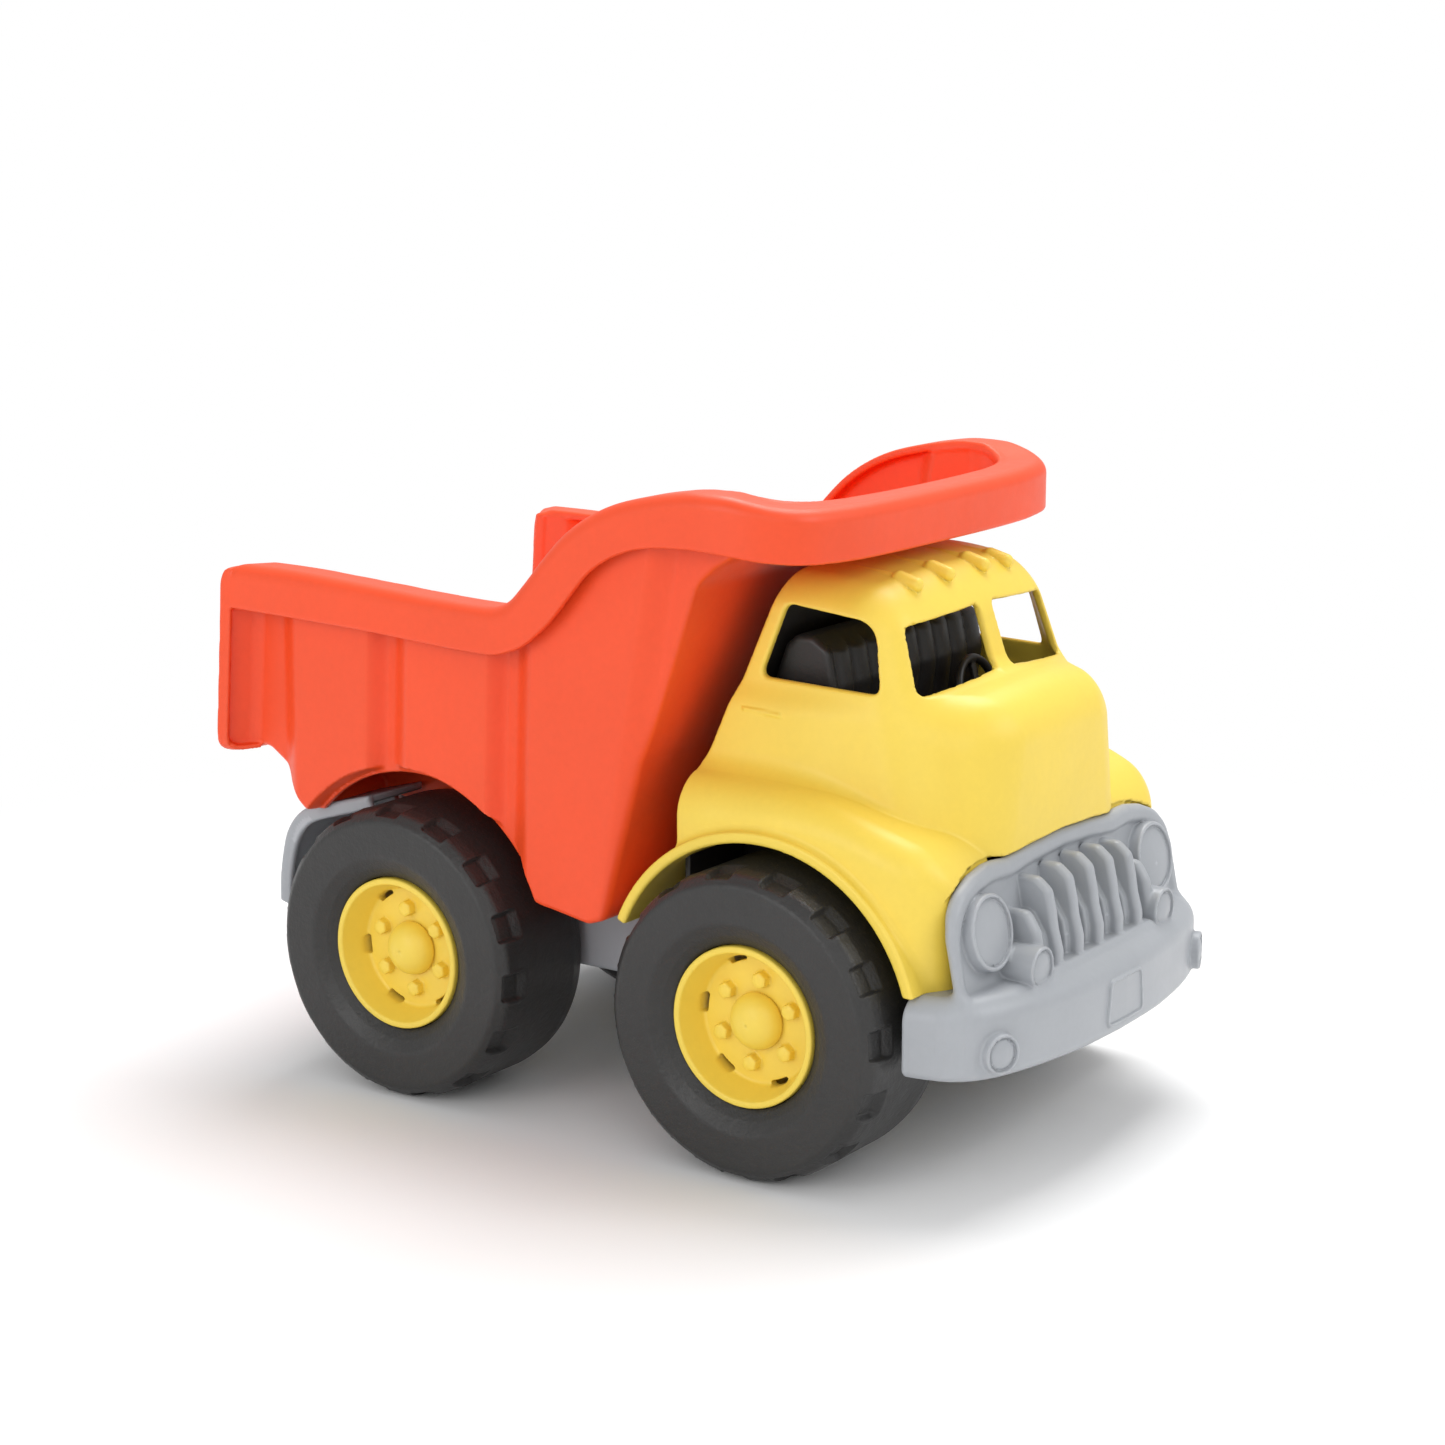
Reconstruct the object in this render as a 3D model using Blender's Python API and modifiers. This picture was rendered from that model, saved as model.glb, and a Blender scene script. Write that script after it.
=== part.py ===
"""Toy dump truck: a chunky moulded-plastic truck with a tipping bed and four free-rolling wheels.

Frame: +X is the truck's front, +Y its left side, +Z up, ground at z = 0. Dimensions are in
millimetres and x is measured from the point midway between the axles. SHIFT_X then moves the
truck, so that the origin is the middle of the footprint of its bounding box. Each piece is
scaled to metres when it is finished.
"""
import math

import bmesh
import bpy
import numpy as np
from mathutils import Matrix, Vector

# ---------------------------------------------------------------- driving dimensions (mm)
METRE = 0.001
SHIFT_X = -2.95
AXLE_X = 63.0                       # half the wheelbase
AXLE_Z = 44.55
AXLE_R = 3.0
AXLE_LENGTH = 147.6
BORE_R = 3.35                       # axle bore in the frame and hubs
TYRE_R = 44.5
TYRE_IN, TYRE_OUT = 43.0, 83.5      # side faces of a tyre, from the centreline
HINGE_X, HINGE_Z = -112.0, 80.0     # tipping axis of the bed
PIN_R = 2.4

SIDES = (1, -1)                     # sign of y: left, right
REAR_SCREW_X, FRONT_SCREW_X = 42.0, 101.0
CAB_SCREWS = [(x, side * 22.0) for x in (REAR_SCREW_X, FRONT_SCREW_X) for side in SIDES]
LUG_X, LUG_Y = 109.5, 18.0          # screws that hold the grille
GRILLE_SCREWS = [(LUG_X, side * LUG_Y) for side in SIDES]
SCREW_HOLE_R = 1.5
SCREW_SEAT_Z = 54.1                 # underside of the frame's top wall, less a gap
STEER_Y, STEER_Z = 21.0, 124.4      # centre of the steering wheel

# ---------------------------------------------------------------- scene and materials
for old in list(bpy.data.objects):
    bpy.data.objects.remove(old, do_unlink=True)
for old in list(bpy.data.collections):
    bpy.data.collections.remove(old)
PARTS = bpy.data.collections.new("toy_dump_truck")
CUTTERS = bpy.data.collections.new("cutters")
bpy.context.scene.collection.children.link(PARTS)
bpy.context.scene.collection.children.link(CUTTERS)


def material(name, colour, roughness, metallic=0.0):
    mat = bpy.data.materials.new(name)
    mat.use_nodes = True
    shader = mat.node_tree.nodes["Principled BSDF"]
    shader.inputs["Base Color"].default_value = (*colour, 1.0)
    shader.inputs["Roughness"].default_value = roughness
    shader.inputs["Metallic"].default_value = metallic
    return mat


MATERIALS = {
    "yellow": material("yellow_plastic", colour=(0.86, 0.62, 0.10), roughness=0.42),
    "orange": material("orange_plastic", colour=(0.86, 0.10, 0.03), roughness=0.40),
    "grey": material("grey_plastic", colour=(0.40, 0.43, 0.46), roughness=0.45),
    "black": material("black_plastic", colour=(0.045, 0.043, 0.042), roughness=0.55),
    "steel": material("screw_steel", colour=(0.55, 0.55, 0.56), roughness=0.35, metallic=1.0),
}

# ---------------------------------------------------------------- modelling helpers
# turns the Z axis on to the named one
AXIS_TURN = {
    "X": Matrix.Rotation(math.pi / 2, 4, "Y"),
    "Y": Matrix.Rotation(-math.pi / 2, 4, "X"),
    "Z": Matrix.Identity(4),
}


def at(x, y, z):
    """Design position to drawing position, both in millimetres."""
    return Vector((x + SHIFT_X, y, z))


def move_to(ob, collection):
    for old_home in list(ob.users_collection):
        old_home.objects.unlink(ob)
    collection.objects.link(ob)


def take_active(name):
    """Name the primitive that was just added and keep it with the working solids."""
    ob = bpy.context.active_object
    move_to(ob, CUTTERS)
    ob.name = name
    return ob


def evaluated_mesh(ob):
    bpy.context.view_layer.update()
    graph = bpy.context.evaluated_depsgraph_get()
    return bpy.data.meshes.new_from_object(ob.evaluated_get(graph))


def apply_modifiers(ob):
    mesh = evaluated_mesh(ob)
    ob.modifiers.clear()
    ob.data = mesh
    return ob


def from_bmesh(name, bm):
    """A triangulated solid with its normals outwards."""
    bm.normal_update()
    bmesh.ops.triangulate(bm, faces=bm.faces)
    bmesh.ops.recalc_face_normals(bm, faces=bm.faces)
    if bm.calc_volume(signed=True) < 0:
        bmesh.ops.reverse_faces(bm, faces=bm.faces)
    mesh = bpy.data.meshes.new(name)
    bm.to_mesh(mesh)
    bm.free()
    ob = bpy.data.objects.new(name, mesh)
    CUTTERS.objects.link(ob)
    return ob


def box(name, x_span, y_span, z_span):
    bpy.ops.mesh.primitive_cube_add(size=1.0, location=(0, 0, 0))
    ob = take_active(name)
    low, high = (at(*corner) for corner in zip(x_span, y_span, z_span))
    for v in ob.data.vertices:
        v.co = Vector([low[i] + (v.co[i] + 0.5) * (high[i] - low[i]) for i in range(3)])
    return ob


def bevel(ob, width, segments):
    """Bevel the sharp edges."""
    mod = ob.modifiers.new("bevel", "BEVEL")
    mod.width = width
    mod.segments = segments
    mod.limit_method = "ANGLE"
    mod.angle_limit = math.radians(40)
    return apply_modifiers(ob)


def rod(name, axis, centre, radius, length, segments, end_radius=None):
    """A round bar along an axis; end_radius is the radius at its far, positive end."""
    bpy.ops.mesh.primitive_cone_add(
        vertices=segments, radius1=radius, radius2=radius if end_radius is None else end_radius,
        depth=length, location=(0, 0, 0))
    ob = take_active(name)
    ob.data.transform(Matrix.Translation(at(*centre)) @ AXIS_TURN[axis])
    return ob


def upright_rods(name, places, z, radius, length, segments):
    return [rod(name, "Z", (x, y, z), radius, length, segments) for x, y in places]


def prism(name, outline, plane, start, end):
    """A flat outline made solid: plane 'XZ' extrudes along Y, 'YZ' along X."""
    curve = bpy.data.curves.new(name, "CURVE")
    curve.dimensions = "2D"
    curve.fill_mode = "BOTH"
    curve.extrude = 0.5 * abs(end - start)
    spline = curve.splines.new("POLY")
    spline.points.add(len(outline) - 1)
    for point, (a, b) in zip(spline.points, outline):
        point.co = (a, b, 0, 1)
    spline.use_cyclic_u = True
    flat = bpy.data.objects.new(name, curve)
    CUTTERS.objects.link(flat)
    mesh = evaluated_mesh(flat)
    bpy.data.objects.remove(flat)
    bm = bmesh.new()
    bm.from_mesh(mesh)
    bmesh.ops.remove_doubles(bm, verts=bm.verts, dist=1e-4)
    bmesh.ops.dissolve_limit(bm, angle_limit=0.001, verts=bm.verts, edges=bm.edges)
    middle = 0.5 * (start + end)
    for v in bm.verts:
        a, b, c = v.co
        if plane == "XZ":
            v.co = (a + SHIFT_X, middle - c, b)
        else:
            v.co = (middle + SHIFT_X + c, a, b)
    return from_bmesh(name, bm)


def lean(ob, x_at):
    """Shift each vertex along x by x_at(z)."""
    for v in ob.data.vertices:
        v.co.x += x_at(v.co.z)
    return ob


def arc(x, z, radius, start, end, steps):
    """Points of an arc in the XZ plane, angles in degrees from +X towards +Z."""
    angles = [math.radians(start + (end - start) * i / steps) for i in range(steps + 1)]
    return [(x + radius * math.cos(a), z + radius * math.sin(a)) for a in angles]


def loft(name, sections):
    """A capped solid through closed sections, each the same number of (x, y, z) points."""
    bm = bmesh.new()
    rings = [[bm.verts.new(at(*p)) for p in section] for section in sections]
    count = len(rings[0])
    for ring, following in zip(rings, rings[1:]):
        for i in range(count):
            j = (i + 1) % count
            bm.faces.new((ring[i], ring[j], following[j], following[i]))
    bm.faces.new(rings[0][::-1])
    bm.faces.new(rings[-1])
    return from_bmesh(name, bm)


def turned(name, profile, steps, centre):
    """A shape turned about the Y direction; profile holds (radius, y)."""
    points = [(radius, 0, y) for radius, y in profile]
    edges = [(i, i + 1) for i in range(len(points) - 1)]
    if profile[0][0] > 0 or profile[-1][0] > 0:
        edges.append((len(points) - 1, 0))
    mesh = bpy.data.meshes.new(name)
    mesh.from_pydata(points, edges, [])
    line = bpy.data.objects.new(name, mesh)
    CUTTERS.objects.link(line)
    mod = line.modifiers.new("turn", "SCREW")
    mod.axis = "Z"
    mod.steps = mod.render_steps = steps
    mod.use_merge_vertices = True
    mod.merge_threshold = 0.0001
    surface = evaluated_mesh(line)
    bpy.data.objects.remove(line)
    bm = bmesh.new()
    bm.from_mesh(surface)
    bmesh.ops.remove_doubles(bm, verts=bm.verts, dist=1e-4)
    bm.transform(Matrix.Translation(at(*centre)) @ AXIS_TURN["Y"])
    return from_bmesh(name, bm)


def boolean(ob, tools, operation):
    """Apply each tool in turn and remove it."""
    for tool in tools:
        mod = ob.modifiers.new(operation.lower(), "BOOLEAN")
        mod.operation = operation
        mod.solver = "EXACT"
        mod.object = tool
        apply_modifiers(ob)
        bpy.data.objects.remove(tool, do_unlink=True)


def cut(ob, *tools):
    boolean(ob, tools, "DIFFERENCE")


def join(ob, *tools):
    boolean(ob, tools, "UNION")


def smooth_curve(points):
    """A cubic through (x, y) points that doesn't overshoot, level beyond its ends."""
    xs, ys = np.array(points, float).T
    step = np.diff(xs)
    slope = np.diff(ys) / step
    tangent = np.zeros_like(ys)
    tangent[0], tangent[-1] = slope[0], slope[-1]
    for i in range(1, len(xs) - 1):
        before, after = slope[i - 1], slope[i]
        if before * after > 0:
            tangent[i] = 2 * before * after / (before + after)

    def value(x):
        x = np.clip(x, xs[0], xs[-1])
        i = np.clip(np.searchsorted(xs, x) - 1, 0, len(step) - 1)
        t = (x - xs[i]) / step[i]
        return float((1 + 2 * t) * (1 - t) ** 2 * ys[i]
                     + t * (1 - t) ** 2 * step[i] * tangent[i]
                     + t * t * (3 - 2 * t) * ys[i + 1]
                     + t * t * (t - 1) * step[i] * tangent[i + 1])
    return value


# ---------------------------------------------------------------- finishing and placing pieces
# (angle in degrees, merge distance) from the strongest clean-up to none
CLEANUPS = [(0.8, 0.02), (0.8, 0.004), (0.8, 0.0), (0.3, 0.004), (0.3, 0.0), (0.0, 0.002),
            (0.0, 0.0)]


def simplify(mesh):
    """Merge faces that lie in one plane, as far as the surface stays closed."""
    for angle, dist in CLEANUPS:
        bm = bmesh.new()
        bm.from_mesh(mesh)
        if dist:
            bmesh.ops.remove_doubles(bm, verts=bm.verts, dist=dist)
            bmesh.ops.dissolve_degenerate(bm, edges=bm.edges, dist=dist)
        if angle:
            bmesh.ops.dissolve_limit(bm, angle_limit=math.radians(angle), verts=bm.verts,
                                     edges=bm.edges)
        bmesh.ops.triangulate(bm, faces=bm.faces)
        closed = all(len(e.link_faces) == 2 for e in bm.edges)
        accepted = closed or not (dist or angle)
        if accepted:
            bm.to_mesh(mesh)
        bm.free()
        if accepted:
            return


def attach(ob, parent, origin):
    ob.parent = parent
    ob.location = origin - parent.matrix_world.translation


def add_empty(name, origin, parent=None):
    ob = bpy.data.objects.new(name, None)
    ob.empty_display_size = 0.02
    PARTS.objects.link(ob)
    ob.location = origin
    if parent is not None:
        attach(ob, parent, origin)
    bpy.context.view_layer.update()
    return ob


TRUCK = add_empty("truck_frame", Vector((0, 0, 0)))
HINGE = at(HINGE_X, 0, HINGE_Z) * METRE
BED_PIVOT = add_empty("bed_tip_axis", HINGE, TRUCK)


def part(ob, name, mat, parent=TRUCK, origin=Vector((0, 0, 0))):
    """Finish a piece: simplify and scale it, and give it name, material, parent and origin."""
    mesh = ob.data
    simplify(mesh)
    mesh.transform(Matrix.Translation(-origin) @ Matrix.Scale(METRE, 4))
    ob.name = name
    mesh.name = name
    move_to(ob, PARTS)
    mesh.materials.clear()
    mesh.materials.append(MATERIALS[mat])
    attach(ob, parent, origin)
    mesh.shade_smooth()
    mesh.set_sharp_from_angle(angle=math.radians(35))
    bpy.context.view_layer.update()
    return ob


# ---------------------------------------------------------------- outer form of the cab
def past(value, start):
    """How far value lies beyond start, never negative."""
    return np.maximum(value - start, 0)


def rear_x(z):
    """Back wall of the cab: upright low down, leaning forward above the fenders."""
    return 33.0 + 0.36 * past(z, 112.0)


def crown(y):
    """Crosswise curvature: 0 at the centreline, 1 at y = 40."""
    return (y / 40.0) ** 2


def roof_z(x, y):
    return 168.6 - 0.0052 * past(x, 57.0) ** 2 - 3.0 * crown(y)


def filleted_union(a, b, radius):
    return np.maximum(radius, np.minimum(a, b)) - np.hypot(past(radius, a), past(radius, b))


def rounded_overlap(a, b, radius):
    """Intersection of two fields with a rounded edge."""
    return (np.minimum(-radius, np.maximum(a, b))
            + np.hypot(np.maximum(radius + a, 0), np.maximum(radius + b, 0)))


def ramp(x, start, end):
    """Smooth step from 0 at start to 1 at end."""
    t = np.clip((x - start) / (end - start), 0, 1)
    return t * t * (3 - 2 * t)


def greenhouse_field(x, y, z):
    """Upper cab: sides and windscreen lean in, the roof is crowned."""
    half_width = 48.4 - 0.15 * (z - 137.0)
    screen_x = 98.4 - 0.34 * (z - 138.0) - 4.2 * crown(y)
    # the factors turn level distances into distances across the leaning faces
    walls = rounded_overlap((y - half_width) * 0.989, (x - screen_x) * 0.947, 11.0)
    return rounded_overlap(walls, z - roof_z(x, y), 9.0)


def hood_field(x, y, z):
    """Hood: narrows and drops towards a slightly bowed nose."""
    half_width = 54.6 - 0.0052 * past(x, 58.0) ** 2 - 0.16 * (z - 112.0)
    nose_x = 119.2 - 1.5 * crown(y)
    top_z = 137.6 - 0.16 * past(x, 95.0) - 3.2 * crown(y)
    edge_radius = 5.0 + 7.0 * ramp(x, 86, 108)
    walls = rounded_overlap((y - half_width) * 0.96, x - nose_x, 9.0)
    return rounded_overlap(walls, z - top_z, edge_radius)


def fender_field(x, y, z):
    """Fenders: bowed in plan, dropping forwards, raised towards the middle at the back."""
    half_width = 70.6 - 0.0095 * past(x, 95.0) ** 2 - 0.010 * past(45.0, x) ** 2
    top_z = 110.2 - 0.0040 * past(x, 55.0) ** 2 + 0.30 * (1 - ramp(x, 45, 95)) * (60 - y)
    front_x = 118.4
    return rounded_overlap(rounded_overlap(y - half_width, z - top_z, 9.0), x - front_x, 12.0)


def cab_field(x, y, z):
    """Outer form of the cab, negative inside."""
    y = np.abs(y)
    body = filleted_union(greenhouse_field(x, y, z), hood_field(x, y, z), 4.0)
    return filleted_union(body, fender_field(x, y, z), 4.5 - 3.5 * ramp(x, 60, 108))


RAY_CENTRE_Z = 74.0
RAY_LENGTH = 140.0
CAB_NOSE_X = 118.8
# angles of the left-hand rays from +Y towards +Z, in radians
RAYS = [-math.pi / 2, -1.15, -0.75, -0.30, 0.02, 0.26, 0.40, 0.50, 0.60, 0.72, 0.86, 0.98, 1.08,
        1.18, 1.30, math.pi / 2]
# ring places as shares of the way from back wall to nose
OUTER_STATIONS = [0.0, 0.15, 0.35, 0.52, 0.62, 0.70, 0.77, 0.84, 0.90, 0.945, 0.98, 1.0]
INNER_STATIONS = [0.0, 0.15, 0.35, 0.52, 0.66, 0.74, 0.82, 0.92, 1.0]


def cab_solid(name, inset, floor_z, stations):
    """Closed cab form, inset by a wall thickness, each ring on a sheet across the cab."""
    angles = np.array(RAYS)
    angles = np.concatenate([angles, math.pi - angles[::-1][1:-1]])
    cosines, sines = np.cos(angles), np.sin(angles)

    def ring(share):
        def ray_points(reach):
            y, z = reach * cosines, RAY_CENTRE_Z + reach * sines
            back_x = rear_x(z) + inset * 1.06   # 1.06 allows for the lean of the wall
            return (1 - share) * back_x + share * (CAB_NOSE_X - inset), y, z

        near, far = np.zeros_like(angles), np.full_like(angles, RAY_LENGTH)
        for _ in range(32):     # halve the search along each ray
            middle = 0.5 * (near + far)
            x, y, z = ray_points(middle)
            value = np.maximum(cab_field(x, y, z) + inset, floor_z - z)
            near, far = np.where(value < 0, middle, near), np.where(value < 0, far, middle)
        return list(zip(*ray_points(near)))

    return loft(name, [ring(share) for share in stations])


# ---------------------------------------------------------------- cab shell
CAB_WALL = 2.6
ARCH_Z = 45.8               # centre of the front wheel arches
ROOF_LIGHT_Y = (-25.4, -10.0, 10.0, 25.4)
BOSS_FOOT_Z = 58.4
BOSS_TOP_Z = {REAR_SCREW_X: 63.5, FRONT_SCREW_X: 91.5}
# (x, z)
SIDE_WINDOW = [(49.6, 139.0), (51.0, 137.4), (84.0, 136.3), (85.6, 138.0), (84.1, 148.5),
               (81.4, 152.6), (77.0, 154.6), (57.6, 157.0), (55.4, 156.2)]
# (y, z) of the left pane
WINDSCREEN_PANE = [(4.4, 139.4), (5.6, 137.9), (38.2, 135.4), (39.6, 136.8), (37.6, 151.4),
                   (36.2, 152.8), (5.2, 154.9), (3.9, 153.6)]
# (y, z) of the opening behind the grille
GRILLE_HOLE = [(-61.0, 50), (61.0, 50), (61.0, 79), (56, 84.5), (40.0, 87.5), (-40.0, 87.5),
               (-56, 84.5), (-61.0, 79)]
# (y, z) of the grille plate
PLATE = [(-65.6, 56.0), (65.6, 56.0), (65.4, 75.0), (63.0, 82.0), (58.0, 86.8), (50.0, 89.8),
         (42.0, 91.2), (37.0, 91.2), (31.0, 90.6), (18.0, 91.8), (0.0, 92.6), (-18.0, 91.8),
         (-31.0, 90.6), (-37.0, 91.2), (-42.0, 91.2), (-50.0, 89.8), (-58.0, 86.8),
         (-63.0, 82.0), (-65.4, 75.0)]


def grille_x(z):
    """Front face of the grille plate, leaning back towards the top."""
    return 124.4 - 0.2 * (z - 63.0)


def roof_light(y):
    """A tapered light with its narrow end to the rear, tilted down at the front."""
    light = rod("roof_light", "X", (0, 0, 0), 0.5, 13.0, 10, end_radius=2.1)
    place = at(80.6, y, roof_z(86.0, y) + 1.0)
    light.data.transform(Matrix.Translation(-at(0, 0, 0)))
    light.data.transform(Matrix.Translation(place) @ Matrix.Rotation(math.radians(13.0), 4, "Y"))
    return light


def cab_boss(x, y):
    top = BOSS_TOP_Z[x]
    return rod("cab_boss", "Z", (x, y, 0.5 * (BOSS_FOOT_Z + top)), 4.0, top - BOSS_FOOT_Z, 14)


def build_cab_shell():
    cab = cab_solid("cab_outer", 0.0, 58.5, OUTER_STATIONS)
    cut(cab, cab_solid("cab_inner", CAB_WALL, 40.0, INNER_STATIONS))
    cut(cab, *[rod("wheel_opening", "Y", (AXLE_X, side * 64.0, ARCH_Z), 49.9, 52.0, 32)
               for side in SIDES])
    lip = arc(AXLE_X, ARCH_Z, 52.6, 17.5, 157.0, 15)
    lip += arc(AXLE_X, ARCH_Z, 49.3, 17.5, 157.0, 15)[::-1]
    join(cab, *[prism("arch_lip", lip, "XZ", side * 39.0, side * 73.4) for side in SIDES])
    cut(cab, prism("side_windows", SIDE_WINDOW, "XZ", -80, 80))
    for side in SIDES:
        pane = [(side * y, z) for y, z in WINDSCREEN_PANE]
        cut(cab, prism("windscreen_pane", pane, "YZ", 84.0, 130.0))
    cut(cab, prism("grille_opening", GRILLE_HOLE, "YZ", 108.0, 130.0))
    # seat for the plate: its outline with a little play, open at the bottom
    seat = [(1.007 * y, z + 0.4 if z > 60 else 40.0) for y, z in PLATE]
    cut(cab, lean(prism("grille_seat", seat, "YZ", -3.9, 20.0), grille_x))
    join(cab, *[roof_light(y) for y in ROOF_LIGHT_Y])
    # screw bosses, tied to the back wall and to the nose by ledges
    join(cab,
         box("rear_ledge", (34.2, 47.0), (-28.0, 28.0), (62.0, 65.0)),
         box("front_ledge", (96.0, 105.0), (-67.6, 67.6), (90.0, 92.6)),
         *[cab_boss(x, y) for x, y in CAB_SCREWS])
    cut(cab, *upright_rods("boss_bore", CAB_SCREWS, 61.0, SCREW_HOLE_R, 10.0, 10))
    part(cab, "cab_shell", "yellow")


# ---------------------------------------------------------------- grille and bumper
# (share of the half length, x, y) along the outer face of the bumper, from the middle out
BUMPER_PLAN = [(0, 140.0, 0), (0.25, 139.4, 19), (0.5, 137.2, 38), (0.68, 134.0, 53.5),
               (0.80, 130.0, 64.0), (0.90, 123.0, 71.0), (1.0, 110.5, 74.4)]
BUMPER_X = smooth_curve([(share, x) for share, x, y in BUMPER_PLAN])
BUMPER_Y = smooth_curve([(share, y) for share, x, y in BUMPER_PLAN])
# (x, z) of the short fins
SHORT_FIN = [(119.5, 58.0), (131.5, 58.0), (131.0, 66.0), (129.0, 72.0), (126.5, 75.5),
             (119.5, 75.5)]
# (y, z) of the raised plate in the middle of the bumper
CENTRE_PLATE = [(-9.6, 39.6), (-8.2, 38.6), (8.2, 38.6), (9.6, 39.6), (8.8, 52.4), (7.4, 53.6),
                (-7.4, 53.6), (-8.8, 52.4)]
HEADLIGHT_Y, HEADLIGHT_Z = 49.0, 74.6


def bumper_point(along):
    """Outer face in plan; along runs from -1 (right end) to 1 (left end)."""
    return BUMPER_X(abs(along)), math.copysign(BUMPER_Y(abs(along)), along)


def bumper_section(along):
    x, y = bumper_point(along)
    next_x, next_y = bumper_point(along + 0.004)
    last_x, last_y = bumper_point(along - 0.004)
    run_x, run_y = next_x - last_x, next_y - last_y
    length = math.hypot(run_x, run_y)
    normal_x, normal_y = run_y / length, -run_x / length
    low = 36.6 + 0.9 * abs(along) ** 3
    top = 59.6 + 0.4 * abs(along)
    depth = 8.5 - 3.5 * abs(along) ** 3
    # (distance out from the outer face, z)
    profile = [(0.0, low + 2.5), (0.0, top - 6.0), (-1.6, top - 2.0), (-4.5, top), (-depth, top),
               (-depth, top - 2.5), (-4.6, top - 2.5), (-2.6, top - 6.5), (-2.6, low + 2.9),
               (-depth, low + 2.4), (-depth, low), (-2.2, low)]
    return [(x + normal_x * out, y + normal_y * out, z) for out, z in profile]


def long_fin(y):
    top = 86.0 - 0.003 * y * y
    outline = [(119.5, 58.0), (132.4, 58.0), (132.2, 66.0), (130.0, 73.0), (129.0, 79.0),
               (127.2, top - 2.2), (124.6, top), (119.5, top)]
    return prism("grille_fin", outline, "XZ", y - 2.3, y + 2.3)


def build_grille_bumper():
    grille = lean(prism("grille_plate", PLATE, "YZ", -3.4, 0.0), grille_x)
    recess = [(0.955 * y, 58.0 + (z - 56.0) * 0.885) for y, z in PLATE]
    cut(grille, lean(prism("grille_recess", recess, "YZ", -1.4, 6.0), grille_x))
    join(grille,
         loft("bumper_band", [bumper_section(-1 + 2 * i / 18) for i in range(19)]),
         box("bumper_shelf", (120.5, 134.5), (-52.0, 52.0), (56.4, 59.4)))
    for side in SIDES:
        lamp_y = side * HEADLIGHT_Y
        join(grille, rod("headlight_ring", "X", (122.6, lamp_y, HEADLIGHT_Z), 11.0, 6.4, 24, 10.4))
        cut(grille, rod("headlight_lens", "X", (126.6, lamp_y, HEADLIGHT_Z), 9.2, 2.4, 20))
        join(grille,
             rod("fog_lamp", "X", (127.0, side * 36.6, 63.2), 6.5, 12.0, 14, 6.1),
             rod("bumper_boss", "X", (133.6, side * 59.6, 44.6), 5.6, 4.0, 14, 4.6))
    join(grille, *[long_fin(y) for y in (-24, -12, 0, 12, 24)])
    join(grille, *[prism("short_fin", SHORT_FIN, "XZ", y - 2.0, y + 2.0) for y in (-32.6, 32.6)])
    join(grille, prism("centre_plate", CENTRE_PLATE, "YZ", 137.0, 141.0))
    # lugs behind the bumper that sit under the frame's nose
    join(grille, *[box("grille_lug", (105.6, 124.0), (y - 5.0, y + 5.0), (58.3, 61.3))
                   for _, y in GRILLE_SCREWS])
    cut(grille, *upright_rods("lug_bore", GRILLE_SCREWS, 60.0, SCREW_HOLE_R, 8.0, 10))
    part(grille, "grille_bumper", "grey")


# ---------------------------------------------------------------- dump bed
# (x, z) of the rim: level at the rear, a dip, then the raised bar over the cab
RIM_TOP = smooth_curve([
    (-132, 157.2), (-110, 157.1), (-72, 155.4), (-45, 153.9), (-27, 153.4), (-21, 155.0),
    (-14, 161.5), (-9, 167.2), (-4, 172.6), (1, 177.2), (7, 181.4), (14, 185.0), (20, 187.2),
    (27, 189.0), (35, 190.6), (46, 191.9), (56, 191.7), (64, 190.4), (72, 188.6), (80, 187.6)])
RIM_LOW = smooth_curve([
    (-132, 143.6), (-120, 143.3), (-74, 141.9), (-26, 139.7), (-16, 142.2), (-5.5, 149.6),
    (-1, 154.2), (5, 161.2), (10, 166.6), (16, 170.7), (21, 173.0), (27, 174.9), (34, 175.9),
    (45, 176.3), (56, 175.6), (66, 174.2), (80, 172.3)])


def bed_back(z):
    """Back edge of the bed, leaning forward towards the top."""
    return -131.5 - 0.08 * (142.0 - z)


# (x, z) of the tub's outside: along the floor, up the front and over the bar
TUB_OUTSIDE = [(bed_back(101.0), 101.0), (-121.4, 98.7), (-114.4, 94.1), (-111.5, 89.0),
               (-104.0, 82.3), (5.0, 63.2), (22.0, 112.0), (40.3, 164.6), (47.0, 170.6),
               (57.0, 176.4), (69.6, 184.4)]
# x of the points along the tub's top edge, front to rear
TUB_TOP_X = [69.6, 56.0, 45.0, 35.0, 25.0, 17.0, 10.0, 4.0, -2.0, -8.0, -14.0, -21.0, -28.0,
             -40.0, -54.0, -72.0, -90.0, -110.0, bed_back(155.2)]
# (x, z)
TUB_INSIDE = [(-145.0, 108.4), (-120.7, 101.4), (-112.4, 95.7), (-109.4, 90.6), (-103.3, 85.0),
              (3.4, 66.2), (19.6, 112.7), (38.2, 166.2), (45.6, 172.8), (56.0, 178.7),
              (80.0, 193.8), (80.0, 210.0), (-145.0, 210.0)]
# raised side panels: x of rear and front edge, forward slope, (x, z) along the lower edge
PANELS = [
    (-110.0, -82.0, 0.05,
     [(-109.0, 88.0), (-103.0, 83.2), (-99.0, 85.5), (-91.0, 93.0), (-82.0, 97.5)]),
    (-64.0, -36.0, 0.05, [(-62.8, 101.2), (-50.0, 99.8), (-35.5, 93.5)]),
    (-20.0, 14.5, 0.12, [(-18.0, 75.0), (-11.0, 66.6), (8.0, 63.4), (12.0, 75.0)]),
]
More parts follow.
